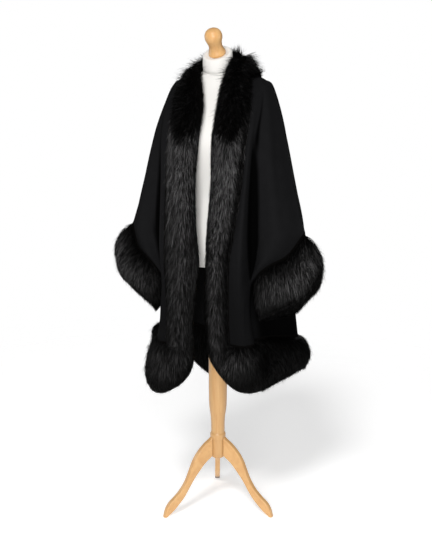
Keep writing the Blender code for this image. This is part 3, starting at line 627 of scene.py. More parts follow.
def shadeFolds(piece, depth):
    # painted shade: how dark the cloth is painted, 0 to 1, as a point attribute, the same for both faces of
    # the shell
    values = np.concatenate([depth.ravel(), depth.ravel()]).astype(np.float32)
    piece.data.attributes.new("paintedShade", "FLOAT", "POINT").data.foreach_set("value", values)


def hollows(grid, normal):
    # how far each point lies behind the middle of its neighbours some columns away, summed over the spans
    found = []
    for reach, size in paintedFoldShade["spans"]:
        before, after = np.roll(grid, reach, axis=1), np.roll(grid, -reach, axis=1)
        before[:, :reach], after[:, -reach:] = grid[:, :1], grid[:, -1:]
        behind = (before + after) / 2 - grid
        found.append((behind * normal).sum(axis=2) / size)
    return sum(found)


def reportSheet(name, grid):
    # area of one face, from the crossed diagonals of its cells, with its widest row and longest column
    a, b = grid[1:, 1:] - grid[:-1, :-1], grid[1:, :-1] - grid[:-1, 1:]
    area = 0.5 * np.linalg.norm(np.cross(a, b), axis=2).sum()
    width = np.linalg.norm(np.diff(grid, axis=1), axis=2).sum(axis=1).max()
    length = np.linalg.norm(np.diff(grid, axis=0), axis=2).sum(axis=0).max()
    print(name, "area", round(area, 4), "width", round(width, 3), "length", round(length, 3))


# the normals have no sideways part at the centre line, and front and back share theirs where they are sewn
fronts = {side: frontGrid(side) for side in ("left", "right")}
halfBack = backGrid()
backNormal = gridNormals(halfBack)
backNormal[:, -1] = unit(backNormal[:, -1] * np.array([0.0, 1.0, 1.0]))
frontNormals = {side: gridNormals(grid) for side, grid in fronts.items()}
joined = np.r_[0:topRow + 1, footRow:len(marks)]  # rows above and below the sleeve mouth
shared = unit(frontNormals["left"][joined, -1] + backNormal[joined, 0])
backNormal[joined, 0] = shared
for side in fronts:
    frontNormals[side][joined, -1] = shared

panels = {}
for side in ("left", "right"):
    grid = creased(drawnIn(fronts[side]), frontNormals[side], frontCreases[side])[0]
    normal = gridNormals(grid)
    if side == "right":
        grid, normal = mirrored(grid), mirrored(normal)
    panels[side] = shellPiece("cape_front_" + side, grid, normal, cape["wall"], wool.material)
    # painted shade: the fronts darker deep in their folds and toward the bottom
    tube = ease(paintedFoldShade["tubeTop"] - grid[..., 2], 0.0, paintedFoldShade["tubeFade"])
    depth = paintedFoldShade["front"] * ease(hollows(grid, normal), *paintedFoldShade["frontDepth"])
    depth = depth + paintedFoldShade["tube"] * tube
    shadeFolds(panels[side], np.clip(depth, 0, paintedFoldShade["frontMost"]))
    reportSheet("front " + side, grid)

# each half of the back has its own creases, and they meet at the centre
backs = {side: creased(halfBack, backNormal, backCreases[side]) for side in ("left", "right")}
middle = (backs["left"][0][:, -1:] + mirrored(backs["right"][0][:, -1:])) / 2
wholeBack = np.concatenate([backs["left"][0][:, :-1], middle, mirrored(backs["right"][0][:, -2::-1])], axis=1)
backShift = np.concatenate([backs["left"][1], backs["right"][1][:, -2::-1]], axis=1)
wholeBack = drawnIn(wholeBack)
backWay = gridNormals(wholeBack)
panels["back"] = shellPiece("cape_back", wholeBack, backWay, cape["wall"], wool.material)
# painted shade: the back darker at the sides low down under the cuffs, deep in its folds and in the creases'
# troughs
shadeUnderCuffs = ease(abs(wholeBack[..., 0]), *paintedFoldShade["cuffSide"])
shadeUnderCuffs = shadeUnderCuffs * ease(paintedFoldShade["cuffFoot"] - wholeBack[..., 2], 0.0, paintedFoldShade["cuffFade"])
depth = paintedFoldShade["back"] * ease(hollows(wholeBack, backWay), *paintedFoldShade["backDepth"])
depth = depth + paintedFoldShade["trough"] * ease(-backShift, *paintedFoldShade["troughDepth"])
depth = depth + paintedFoldShade["underCuff"] * shadeUnderCuffs
shadeFolds(panels["back"], np.clip(depth, 0, paintedFoldShade["backMost"]))
reportSheet("back", wholeBack)
print("cloth made")

# the fur bands: each is sewn to the seam at the cloth's edge and ends at a free edge
trim = {
    "collarPile": 0.86, "shoulderPile": {"left": 0.90, "right": 0.60}, "fullPileRow": 2,
    "cornerRadius": 0.0015, "cornerTurn": 75.0, "noseReach": 0.004,
    "seamRise": 0.0010, "seamTurn": 0.12,  # share of the width in which the skin turns from the seam's normal
    "clothRise": 0.0028, "clothSlope": 0.06,  # height over the cloth of the hair's way past the seam
    "ground": 0.50, "lip": 0.004, "lipRise": 0.0009,  # the ground under the hair, as a share of the depth
}
# collar: free edge from the shoulder seam to the centre back
collarEdge = {
    "left": ((0.059, 0.006, 1.607), (0.057, 0.026, 1.612), (0.038, 0.054, 1.616), (0.000, 0.064, 1.616)),
    "right": ((0.061, 0.004, 1.577), (0.058, 0.026, 1.588), (0.039, 0.054, 1.607), (0.000, 0.064, 1.616)),
}
# free edge round each front corner and along the foot of the front panel
cornerEdge = {
    "left": ((0.049, -0.191, 0.625), (0.073, -0.192, 0.585), (0.103, -0.190, 0.548),
             (0.140, -0.186, 0.522), (0.176, -0.162, 0.508), (0.206, -0.104, 0.502)),
    "right": ((0.014, -0.193, 0.600), (0.030, -0.193, 0.556), (0.068, -0.191, 0.512),
              (0.126, -0.186, 0.478), (0.178, -0.160, 0.468), (0.226, -0.108, 0.478)),
}
# then along the foot of the back to its centre
hemFoot = {
    "left": ((0.256, -0.030, 0.530), (0.288, 0.095, 0.536), (0.251, 0.198, 0.494),
             (0.136, 0.238, 0.412), (0.000, 0.228, 0.380)),
    "right": ((0.240, -0.030, 0.566), (0.271, 0.095, 0.584), (0.246, 0.197, 0.530),
              (0.136, 0.238, 0.418), (0.000, 0.228, 0.380)),
}
# free edge from the top of the mouth down its front to the foot, then up its back
cuffEdge = {
    "left": ((0.380, -0.040, 0.905), (0.345, -0.084, 0.840), (0.292, -0.108, 0.808), (0.238, -0.118, 0.780),
             (0.192, -0.110, 0.754), (0.204, -0.068, 0.745), (0.240, 0.016, 0.738), (0.268, 0.072, 0.742),
             (0.308, 0.082, 0.788), (0.352, 0.042, 0.840)),
    "right": ((0.380, -0.040, 0.920), (0.340, -0.084, 0.862), (0.292, -0.108, 0.832), (0.240, -0.118, 0.796),
              (0.196, -0.110, 0.758), (0.204, -0.068, 0.738), (0.236, 0.016, 0.736), (0.262, 0.072, 0.748),
              (0.312, 0.080, 0.796), (0.354, 0.040, 0.852)),
}
# share of the full depth at the top of the mouth, then on from row to row, down the front and up the back
cuffTop = {"left": 1.0, "right": 0.85}
cuffPile = (1.0, 1.0, 0.80, 0.28, 0.12, 0.20, 0.60, 1.0, 1.0)
# depth across a band from the seam to the free edge: share of the width, outward, inward
pile = ((0.00, 0.0010, 0.0010), (0.13, 0.0170, 0.0050), (0.34, 0.0270, 0.0085),
        (0.60, 0.0300, 0.0100), (0.84, 0.0220, 0.0085), (1.00, 0.0060, 0.0045))
outerShares = np.array([0, 0.03, 0.07, 0.13, 0.20, 0.27, 0.34, 0.42,
                        0.51, 0.60, 0.68, 0.76, 0.84, 0.90, 0.95, 1.0])
innerShares = np.array([1.0, 0.92, 0.80, 0.62, 0.44, 0.26, 0.10, 0.0])
overCloth = (0.026, 0.017, 0.008)  # where hair that lies past the seam may reach on the cloth


def pileDepth(shares, column):
    # smooth curve through a column of the pile table
    return smoothThrough(np.array(pile)[:, column:column + 1], np.array(pile)[:, 0], shares)[:, 0]


def trimHalf(side):
    # half of the edge's band as seam, seam normals and free edge: from the collar's centre back down the
    # front, round the corner and along the hem to the centre back; then its depths and where its pieces part
    grid, normal = fronts[side], frontNormals[side]
    columns, parts = grid.shape[1] - 1, []
    free = alongEvenly(collarEdge[side], halfBack.shape[1])[::-1]
    parts.append((halfBack[0, ::-1], backNormal[0, ::-1], free))
    rows = dict(zip(edgeColumns, fineRows(frontEdge[side]).T))
    free = np.column_stack([rows["edgeX"], rows["edgeY"], rows["edgeZ"]])
    # over the shoulder the seam is the front panel's top row, and the free edge runs on to the front's own
    first, over = np.array(collarEdge[side][0]), np.arange(columns - cape["finer"], 0, -cape["finer"])
    share = 1 - over[:, None] / columns
    parts.append((grid[0, over], normal[0, over], first + (free[0] - first) * share))
    parts.append((grid[:-1, 0], normal[:-1, 0], free[:-1]))
    cornerSteps = [cape["finer"]] * 3
    turns = np.radians(np.linspace(0, trim["cornerTurn"], sum(cornerSteps) + 1))[:, None]
    down, fore = unit(grid[-1, 0] - grid[-2, 0]), unit(grid[-1, 0] - grid[-1, 1])
    turned = grid[-1, 0] + trim["cornerRadius"] * (fore * np.cos(turns) + down * np.sin(turns))
    turnedEdge = along([free[-1], *cornerEdge[side][:3]], cornerSteps)
    parts.append((turned, np.repeat(normal[-1:, 0], len(turned), axis=0), turnedEdge))
    places = np.arange(1, columns)
    foot = alongEvenly(np.array(cornerEdge[side])[2:], columns + 1)
    parts.append((grid[-1, places], normal[-1, places], foot[1:-1]))
    free = alongEvenly([cornerEdge[side][-1], *hemFoot[side]], halfBack.shape[1])
    parts.append((halfBack[-1], backNormal[-1], free))
    counts = [len(part[0]) for part in parts]
    shoulder, sideSeam = counts[0] - 1, sum(counts[:-1])
    settled = shoulder + len(over) + int(np.argmin(abs(marks - trim["fullPileRow"])))
    thick = np.interp(np.arange(sum(counts)), [0, shoulder, settled],
                      [trim["collarPile"], trim["shoulderPile"][side], 1.0])
    return [np.concatenate([part[i] for part in parts]) for i in range(3)], thick, shoulder, sideSeam


def furBand(seam, seamNormal, edge, thick):
    # the band's outer skin as a grid: stations along the closed loop, and across it a few columns over the
    # cloth, the outer face from seam to free edge, a rounded nose and the inner face back to the seam
    count = len(seam)
    width = edge - seam
    acrossWay = unit(width)

    def faceNormals(shares):
        # points at shares of the way across and their normals, which start as the seam's own
        grid = seam[:, None] + width[:, None] * shares[None, :, None]
        run = np.roll(grid, -1, axis=0) - np.roll(grid, 1, axis=0)
        normal = unit(np.cross(np.broadcast_to(width[:, None], grid.shape), run))
        k = ease(shares, 0, trim["seamTurn"])[None, :, None]
        return grid, unit(normal * k + seamNormal[:, None] * (1 - k))

    outGrid, outNormal = faceNormals(outerShares)
    inGrid, inNormal = faceNormals(innerShares)
    outDepth = pileDepth(outerShares, 1)[None, :] * thick[:, None]
    outDepth[:, 0] = trim["seamRise"]
    inDepth = np.broadcast_to(pileDepth(innerShares, 2)[None, :], (count, len(innerShares)))
    outer = outGrid + outNormal * outDepth[..., None]
    inner = inGrid - inNormal * inDepth[..., None]
    middle = (outDepth[:, -1:] + inDepth[:, :1]) / 2
    nose = edge + acrossWay * trim["noseReach"] + outNormal[:, -1] * (outDepth[:, -1:] - inDepth[:, :1]) / 2
    flatWay = squareTo(acrossWay, seamNormal)
    rise = [trim["clothRise"] + trim["clothSlope"] * x for x in overCloth]
    cloth = np.stack([seam - flatWay * x + seamNormal * up for x, up in zip(overCloth, rise)], axis=1)
    skin = np.concatenate([cloth, outer, nose[:, None], inner], axis=1)
    alongWay = (np.roll(skin, -1, axis=0) - np.roll(skin, 1, axis=0)) / 2
    acrossSteps = np.gradient(skin, axis=1)
    normal = unit(np.cross(acrossSteps, alongWay))
    low, noseColumn = len(overCloth), len(overCloth) + len(outerShares)
    normal *= np.sign((normal[:, low:noseColumn] * outNormal).sum(axis=2).mean())
    normal[:, :low] = seamNormal[:, None]
    depth = np.concatenate([np.zeros((count, low)), outDepth, middle, inDepth], axis=1)
    return {
        "skin": skin, "normal": normal, "alongWay": alongWay, "acrossWay": acrossSteps, "depth": depth,
        "faceColumns": (low, skin.shape[1] - 1), "noseColumn": noseColumn,
        "ground": (outGrid, outNormal, outDepth, inGrid, inNormal, inDepth),
    }


# the edge's band is one loop from the collar's centre back round both fronts and the hem, and four pieces are
# stretches of it, from station to station
halves = {side: trimHalf(side) for side in ("left", "right")}
loop = [np.concatenate([a, mirrored(b[-2:0:-1])]) for a, b in zip(halves["left"][0], halves["right"][0])]
thick = np.concatenate([halves["left"][1], halves["right"][1][-2:0:-1]])
edgeBand = furBand(*loop, thick)
total = len(thick)
leftShoulder, leftSide = halves["left"][2:]
rightShoulder, rightSide = total - halves["right"][2], total - halves["right"][3]
bandPieces = {
    "fur_collar": (edgeBand, rightShoulder, leftShoulder + total),
    "fur_front_left": (edgeBand, leftShoulder, leftSide),
    "fur_hem": (edgeBand, leftSide, rightSide),
    "fur_front_right": (edgeBand, rightSide, rightShoulder),
}
for side in ("left", "right"):  # a cuff is a loop round its sleeve mouth: down the front, up the back
    down, up = slice(topRow, footRow + 1), slice(topRow + 1, footRow)
    seam = np.concatenate([fronts[side][down, -1], halfBack[up, 0][::-1]])
    seamNormal = np.concatenate([frontNormals[side][down, -1], backNormal[up, 0][::-1]])
    steps = cape["rowSteps"][cape["mouthTop"]:cape["mouthFoot"]]
    edge = along([*cuffEdge[side], cuffEdge[side][0]], steps + steps[::-1])[:-1]
    shares = (cuffTop[side], *cuffPile, cuffTop[side])
    depth = np.interp(np.arange(len(seam)) / steps[0], np.arange(len(shares)), shares)
    if side == "right":  # the mirror turns the way round the mouth, so that side runs on as it is
        seam, seamNormal, edge = mirrored(seam), mirrored(seamNormal), mirrored(edge)
    else:
        seam, seamNormal, edge, depth = seam[::-1], seamNormal[::-1], edge[::-1], depth[::-1]
    bandPieces["fur_cuff_" + side] = (furBand(seam, seamNormal, edge, depth), 0, len(seam))


def groundPiece(name, band, first, last):
    # the dark ground under the hair: a tube through the same section at part of its depth
    outGrid, outNormal, outDepth, inGrid, inNormal, inDepth = band["ground"]
    ring = np.concatenate([outGrid + outNormal * (outDepth * trim["ground"])[..., None],
                           inGrid - inNormal * (inDepth * trim["ground"])[..., None]], axis=1)
    # its lip takes the cloth's edge between its two faces
    square = outNormal[:, 0]
    lip = outGrid[:, 0] - squareTo(outGrid[:, 1] - outGrid[:, 0], square) * trim["lip"]
    ring[:, 0] = lip + square * trim["lipRise"]
    ring[:, -1] = lip - square * (cape["wall"] + trim["lipRise"])
    closed = last - first == len(ring)
    rings = ring[np.arange(first, last if closed else last + 1) % len(ring)]
    if not closed:  # neighbouring bands keep a seam's gap between them
        rings[0] += unit(rings[1] - rings[0]) * cape["seamGap"] / 2
        rings[-1] += unit(rings[-2] - rings[-1]) * cape["seamGap"] / 2
    return tubePiece(name, rings, pelt.material, closed=closed, sharpAngle=70)


# the hair: single tapered ribbons of three points, combed over each band's skin
fur = {
    "counts": {"fur_collar": 26000, "fur_front_left": 56000, "fur_front_right": 60000, "fur_hem": 60000,
               "fur_cuff_left": 40000, "fur_cuff_right": 40000},
    "innerShare": 0.42,  # hairs on the inner face for one on as much of the outer face
    "walk": 4, "kept": (0.0, 0.5, 1.0),  # steps of the walk over the skin, and where a ribbon has its points
    "width": 0.0010, "widths": (0.75, 1.0, 0.0),
    "ownWidth": (0.7, 0.6),  # the least and what chance adds, here and in ownLength
    "length": 0.043, "lengthSpread": 0.30, "ownLength": (0.80, 0.35),
    "byDepth": (0.55, 0.45),  # share of the length where the band is thin, and what its depth adds
    "fullDepth": (0.002, 0.014),
    "spread": 0.0004, "tipGather": 0.80, "bend": 0.0022,
    "rootDepth": 0.70, "rootLeast": 0.0015, "risePowers": (2.2, 1.6),
    "raised": 0.0032, "lift": 0.0014, "twist": 0.55, "ownTwist": 0.15,
    "strayShare": 0.05, "strayLift": 0.010, "ownStray": 0.4, "overEdge": 0.25,
    "fan": 0.40,  # how far the shading of a ribbon's two sides turns apart
    "farthest": (30, 6),  # most stations and columns in one step of the walk
    "mapScale": 0.99, "mapWidth": 0.004,  # the UV map: the tone across, and how wide a hair is on it
}
lie = {  # parts of the edge's way that are added to the fall of the hair; positive is toward the free edge
    "shares": (0, 0.2, 0.45, 0.8, 1, 2), "turns": (-0.1, -0.28, 0, 0.35, 0.3, 0.1),  # toward the nearer edge
    "cuff": 0.55, "hem": 0.25, "collar": -0.55, "collarTurn": 0.35, "frontTurn": 0.24,
    "corner": 0.25, "cornerHeight": (0.58, 0.70), "level": (0.05, 0.35), "levelOut": 0.8,
    "scatter": 0.10, "standingScatter": 0.22,
}
standing = {  # the hair of the collar stands up; it ends lower down toward the middle of each front band
    "edge": ((0.0, 1.480), (0.45, 1.345), (1.0, 1.385)),  # share across and height
    "edgeSpread": 0.008, "edgeFade": (-0.020, 0.022), "most": 0.65,
    "shorter": 0.45, "fall": 0.35, "root": 0.33, "stray": 1.5, "lift": 0.5, "rise": 0.002, "power": 1.0,
    # painted shade: the standing hair is painted darker
    "dark": 1.45,
    "duskFade": 0.085, "dusk": 0.6,  # painted shade: the tips darken a little below its edge
}
calmEdge = {  # along the opening the hair lies calm, so the edge of a front band is clean against the form
    "shares": (0.50, 0.80), "top": (1.530, 1.565),
    "scatter": 0.7, "lift": 0.6, "overEdge": 0.8, "stray": 0.93,  # how much less of each there
}
tipToneAndPaintedLight = {  # how light the tips are: their own random tone, with painted light and painted shade
    "spread": (-0.6, 2.2), "least": 0.02, "most": 2.4, "powers": (2.2, 1.4), "noise": 0.02,
    # painted light: lighter higher up, darker low down
    "height": ((0.40, 0.09), (0.55, 0.34), (0.70, 0.60), (1.00, 0.90), (1.20, 2.5), (1.36, 4.6)),
    # painted shade on the hem and cuffs and at the left front band's corner, painted light on the rest of
    # that band
    "piece": {"fur_hem": 0.05, "fur_cuff_left": 0.85, "fur_cuff_right": 0.8, "fur_front_left": 1.25},
    "corner": {"fur_front_left": 0.25}, "cornerHeight": (0.56, 0.70),
    # painted highlight on the crest, by the share across: on a front band, and on the roll of the others
    "crest": ((0.0, 0.20), (0.15, 0.55), (0.35, 1.0), (0.70, 1.0), (0.90, 0.40), (1.0, 0.12), (2.0, 0.03)),
    "roll": ((0.0, 0.03), (0.20, 0.25), (0.42, 1.0), (0.62, 1.0), (0.85, 0.20), (1.0, 0.05), (2.0, 0.02)),
    # painted light by how far the skin faces up and forward, toward the light
    "way": (0.0, -0.60, 0.80), "facing": (0.30, 0.98), "facingLeast": 0.02,
}
hairSeeds = {name: 11 + 7 * k for k, name in enumerate(sorted(fur["counts"]))}


def sampled(values, i, w):
    # bilinear value of a band's grid at station i, which runs on round the loop, and column w, which stays
    # just short of the last one
    count, columns = values.shape[:2]
    w = np.clip(w, 0, columns - 1.001)
    i0, w0 = np.floor(i).astype(int), np.floor(w).astype(int)
    fi, fw = i - i0, w - w0
    if values.ndim == 3:
        fi, fw = fi[:, None], fw[:, None]
    a, b = i0 % count, (i0 + 1) % count
    return ((values[a, w0] * (1 - fw) + values[a, w0 + 1] * fw) * (1 - fi)
            + (values[b, w0] * (1 - fw) + values[b, w0 + 1] * fw) * fi)


def shareAcross(band, w):
    # 0 at the seam, 1 at the free edge and more on the inner face
    low = band["faceColumns"][0]
    return (w - low) / (band["noseColumn"] - low)


def hairWay(band, i, w, name, stand):
    # the lie of the hair: the fall of gravity on the skin, turned a little toward the nearer edge
    normal = unit(sampled(band["normal"], i, w))
    across = unit(sampled(band["acrossWay"], i, w))
    point = sampled(band["skin"], i, w)
    fall = np.array([0.0, 0.0, -1.0]) + normal * normal[:, 2:]
    outward = across * np.interp(shareAcross(band, w), lie["shares"], lie["turns"])[:, None]
    if name.startswith("fur_cuff"):
        way = fall + across * lie["cuff"]
    elif name == "fur_hem":
        way = fall + across * lie["hem"]
    elif name == "fur_collar":
        way = lie["collar"] * across + lie["collarTurn"] * outward
    else:
        bottom, top = lie["cornerHeight"]
        low = ease(-point[:, 2], -top, -bottom)[:, None]
        way = fall * (1 - standing["fall"] * stand[:, None]) + outward * lie["frontTurn"]
        way = way + across * lie["corner"] * low
    # where the skin lies level there is no fall, and the hair runs straight outward
    flat, steep = lie["level"]
    weak = ease(-np.linalg.norm(fall, axis=1), -steep, -flat)[:, None]
    way = way + across * weak * lie["levelOut"]
    return squareTo(way, normal), normal, point


def rootPlaces(band, first, last, count, rng):
    # station and column of each root: a cell of the skin by chance in proportion to its area, a place in it
    low, high = band["faceColumns"]
    here = np.arange(first, last) % len(band["skin"])
    corner, after = band["skin"][here], band["skin"][(here + 1) % len(band["skin"])]
    cell = np.linalg.norm(np.cross(after[:, low:high] - corner[:, low:high],
                                   corner[:, low + 1:high + 1] - corner[:, low:high]), axis=2)
    weight = np.where(np.arange(low, high) > band["noseColumn"], fur["innerShare"], 1.0)
    chance = np.cumsum((cell * weight).ravel())
    pick = np.searchsorted(chance, rng.random(count) * chance[-1])
    i = first + pick // (high - low) + rng.random(count)
    w = low + pick % (high - low) + rng.random(count)
    return i, w


def walked(band, name, i, w, length, turn, stand, calm):
    # each hair's path over the skin from its root on, a step at a time along its lie, with the skin's normals
    path, normals = [], []
    steps, nose = fur["walk"], band["noseColumn"]
    farAlong, farAcross = fur["farthest"]
    beyond = np.zeros((len(i), 3))
    for k in range(steps + 1):
        way, normal, point = hairWay(band, i, w, name, stand)
        way = unit(way + np.cross(normal, way) * turn)
        path.append(point + beyond)
        normals.append(normal)
        if k == steps:
            break
        # the step along the skin as steps of station and column: a two by two system by least squares
        move = way * (length / steps)[:, None]
        a, b = sampled(band["alongWay"], i, w), sampled(band["acrossWay"], i, w)
        aa, bb, ab = (a * a).sum(1), (b * b).sum(1), (a * b).sum(1)
        am, bm = (a * move).sum(1), (b * move).sum(1)
        det = np.maximum(aa * bb - ab * ab, 1e-14)
        i = i + np.clip((am * bb - bm * ab) / det, -farAlong, farAlong)
        wider = w + np.clip((bm * aa - am * ab) / det, -farAcross, farAcross)
        outside = (w <= nose) & (wider > nose)
        w = np.where(outside, nose, np.clip(wider, 0, band["skin"].shape[1] - 1.01))
        # past the free edge a hair runs on straight for a part of what is left of its step
        went = np.linalg.norm(sampled(band["skin"], i, w) - point, axis=1)
        left = np.clip(length / steps - went, 0, None) * outside * fur["overEdge"]
        beyond = beyond + way * (left * (1 - calmEdge["overEdge"] * calm))[:, None]
    keep = [int(round(t * steps)) for t in fur["kept"]]
    return np.stack(path, axis=1)[:, keep], np.stack(normals, axis=1)[:, keep]


def combed(path, normals, depth, stand, calm, raised, rng):
    # the path made a little longer or shorter and moved aside, its root sunk into the band and its tip lifted
    count, t = len(path), np.array(fur["kept"])
    least, more = fur["ownLength"]
    longer = (least + more * rng.random(count))[:, None, None]
    root = path[:, :1]
    points = root + (path - root) * longer
    tangent = unit(np.gradient(path, axis=1))
    side = unit(np.cross(tangent, normals))
    offset = rng.normal(0, fur["spread"], (count, 2))
    gather = (1 - (1 - fur["tipGather"]) * t)[None, :, None]
    points = points + (side * offset[:, 0, None, None] + tangent[:, :1] * offset[:, 1, None, None]) * gather
    deep = np.maximum(depth, fur["rootLeast"]) * (fur["rootDepth"] + standing["root"] * stand)
    chance = fur["strayShare"] * (1 + standing["stray"] * stand) * (1 - calmEdge["stray"] * calm)
    stray = rng.random(count) < chance
    high = fur["strayLift"] * (fur["ownStray"] + rng.random(count)) * (1 + stand)
    lift = np.where(stray, high, rng.normal(0.0, fur["lift"], count)) + raised
    lift = lift * (1 + standing["lift"] * stand) + standing["rise"] * stand
    sinks, rises = fur["risePowers"]
    power = (sinks - standing["power"] * stand)[:, None]
    rise = -deep[:, None] * (1 - t) ** power + lift[:, None] * t ** rises
    points = points + normals * rise[..., None]
    points = points + side * (rng.normal(0, fur["bend"], count)[:, None, None] * (t ** 2)[None, :, None])
    return points, side


def toTip(left, right, middle):
    # for each hair the values of its left and right sides in turn from the root on, then one at the tip
    pairs = np.stack([left[:, :-1], right[:, :-1]], axis=2).reshape(len(left), -1, 3)
    return np.concatenate([pairs, middle[:, -1:]], axis=1)


def ribbonPiece(name, points, side, normals, twist, rng):
    # ribbons: each turned a little about its own run, widest at the middle and pointed at the tip
    count = len(points)
    tangent = unit(np.gradient(points, axis=1))
    face = normals + side * (twist + rng.normal(0, fur["ownTwist"], count))[:, None, None]
    face = squareTo(face, tangent)
    side = np.cross(tangent, face)
    least, more = fur["ownWidth"]
    half = fur["width"] / 2 * np.array(fur["widths"]) * (least + more * rng.random(count))[:, None]
    verts = toTip(points - side * half[..., None], points + side * half[..., None], points)
    shading = toTip(unit(face - side * fur["fan"]), unit(face + side * fur["fan"]), face)
    per, pairs = verts.shape[1], points.shape[1] - 1
    base = (np.arange(count) * per)[:, None]
    quads = [base + np.array([[2 * k, 2 * k + 1, 2 * k + 3, 2 * k + 2]]) for k in range(pairs - 1)]
    tips = base + np.array([[per - 3, per - 2, per - 1]])
    faces = [np.concatenate(quads), tips]
    return buildPiece(name, verts.reshape(-1, 3), faces, hair.material, turnOut=False), shading


def tonesWithPaintedLight(name, band, i, w, place, stand, dusk, raised, rng):
    # lighter and darker hairs at random, with painted light and shade: painted lighter where raised, high up,
    # on the crest and where the skin faces up and forward, painted darker on the hem, the cuffs, a corner and
    # the standing hair
    count = len(i)
    byRise, byChance = tipToneAndPaintedLight["powers"]
    upper = ease((raised - rng.normal(0, fur["raised"], count)) / fur["raised"], *tipToneAndPaintedLight["spread"])
    bright = tipToneAndPaintedLight["least"] + tipToneAndPaintedLight["most"] * upper ** byRise * rng.random(count) ** byChance
    bright *= np.interp(place[:, 2], *np.array(tipToneAndPaintedLight["height"]).T) * tipToneAndPaintedLight["piece"].get(name, 1.0)
    bright *= np.interp(place[:, 2], tipToneAndPaintedLight["cornerHeight"], (tipToneAndPaintedLight["corner"].get(name, 1.0), 1.0))
    curve = tipToneAndPaintedLight["crest" if name.startswith("fur_front") else "roll"]
    crest = np.interp(shareAcross(band, w), *np.array(curve).T)
    facing = ease(sampled(band["normal"], i, w) @ np.array(tipToneAndPaintedLight["way"]), *tipToneAndPaintedLight["facing"])
    bright *= (1 - dusk) * crest * (tipToneAndPaintedLight["facingLeast"] + (1 - tipToneAndPaintedLight["facingLeast"]) * facing)
    noise = tipToneAndPaintedLight["noise"] * rng.standard_normal(count)
    return np.clip(bright * (1 - standing["dark"] * stand) + noise * (1 - stand), 0.0, 1.0)


def hairPiece(name, band, first, last):
    # one band's hair: roots, a path over the skin for each, ribbons along them and the tone of each
    count = fur["counts"][name]
    rng = np.random.default_rng(hairSeeds[name])
    i, w = rootPlaces(band, first, last, count, rng)
    depth = sampled(band["depth"][..., None], i, w)[:, 0]
    place = sampled(band["skin"], i, w)
    share = np.clip(shareAcross(band, w), 0, 1)
    stand, dusk = np.zeros(count), np.zeros(count)
    if name == "fur_collar":
        stand = np.full(count, standing["most"])
    elif name.startswith("fur_front"):
        edge = np.interp(share, *np.array(standing["edge"]).T) + rng.normal(0, standing["edgeSpread"], count)
        above = place[:, 2] - edge
        stand = standing["most"] * ease(above, *standing["edgeFade"])
        dusk = standing["dusk"] * ease(above, -standing["duskFade"], 0.0)
    calm = ease(share, *calmEdge["shares"]) * (1 - ease(place[:, 2], *calmEdge["top"]))
    calm = calm * name.startswith("fur_front")
    length = fur["length"] * (1 + fur["lengthSpread"] * (rng.random(count) - 0.5))
    least, more = fur["byDepth"]
    length *= least + more * ease(depth, *fur["fullDepth"])
    length *= 1 - standing["shorter"] * stand
    scatter = lie["scatter"] + lie["standingScatter"] * (stand * (1 - calmEdge["scatter"] * calm))
    turn = rng.normal(0, 1, count)[:, None] * scatter[:, None]
    raised = rng.normal(0, fur["raised"], count) * (1 - calmEdge["lift"] * calm)
    twist = rng.normal(0, fur["twist"], count)
    path, normals = walked(band, name, i, w, length, turn, stand, calm)
    points, side = combed(path, normals, depth, stand, calm, raised, rng)
    piece, shading = ribbonPiece(name + "_hair", points, side, normals, twist, rng)
    toneAndPaintedLight = tonesWithPaintedLight(name, band, i, w, place, stand, dusk, raised, rng)
    # each point's tone with its painted light and how far along its hair it lies, as attributes and as a UV
    # map
    mesh, t = piece.data, fur["kept"]
    pointTonesAndPaintedLight = np.repeat(toneAndPaintedLight, shading.shape[1])
    reach = np.tile(np.concatenate([np.repeat(t[:-1], 2), t[-1:]]), count)
    for label, data in (("toneAndPaintedLight", pointTonesAndPaintedLight), ("reach", reach)):
        mesh.attributes.new(label, "FLOAT", "POINT").data.foreach_set("value", data.astype(np.float32))
    corner = np.empty(len(mesh.loops), np.int32)
    mesh.loops.foreach_get("vertex_index", corner)
    wide = fur["mapWidth"]
    sideways = np.tile(np.concatenate([np.tile([0.0, wide], len(t) - 1), [wide / 2]]), count)
    uv = np.stack([pointTonesAndPaintedLight * fur["mapScale"] + sideways, reach], axis=1)[corner]
    mesh.uv_layers.new(name="OFBake").data.foreach_set("uv", uv.astype(np.float32).ravel())
    mesh.normals_split_custom_set_from_vertices(shading.reshape(-1, 3).tolist())
    return piece


grounds, hairs = {}, {}
for name, (band, first, last) in bandPieces.items():
    grounds[name] = groundPiece(name + "_ground", band, first, last)
    hairs[name] = hairPiece(name, band, first, last)
    print(name, "hair faces", len(hairs[name].data.polygons))
print("fur grown")

# the form: ovals a little squarer than an ellipse up the torso, and tilted ones up the neck
form = {"sides": 96, "squareness": 2.25, "ringSteps": 3}
torsoRings = (  # height, half width, front and back
    (0.908, 0.172, -0.100, 0.110), (0.914, 0.177, -0.105, 0.115), (0.960, 0.179, -0.110, 0.124),
    (1.030, 0.166, -0.106, 0.118), (1.090, 0.143, -0.098, 0.102), (1.150, 0.128, -0.093, 0.090),
    (1.210, 0.133, -0.104, 0.092), (1.270, 0.145, -0.124, 0.099), (1.325, 0.154, -0.138, 0.107),
    (1.370, 0.157, -0.133, 0.112), (1.415, 0.160, -0.111, 0.113), (1.455, 0.165, -0.087, 0.108),
    (1.488, 0.169, -0.064, 0.101), (1.510, 0.163, -0.048, 0.094), (1.527, 0.144, -0.0408, 0.086),
    (1.539, 0.121, -0.0388, 0.078), (1.548, 0.094, -0.0390, 0.070),
)
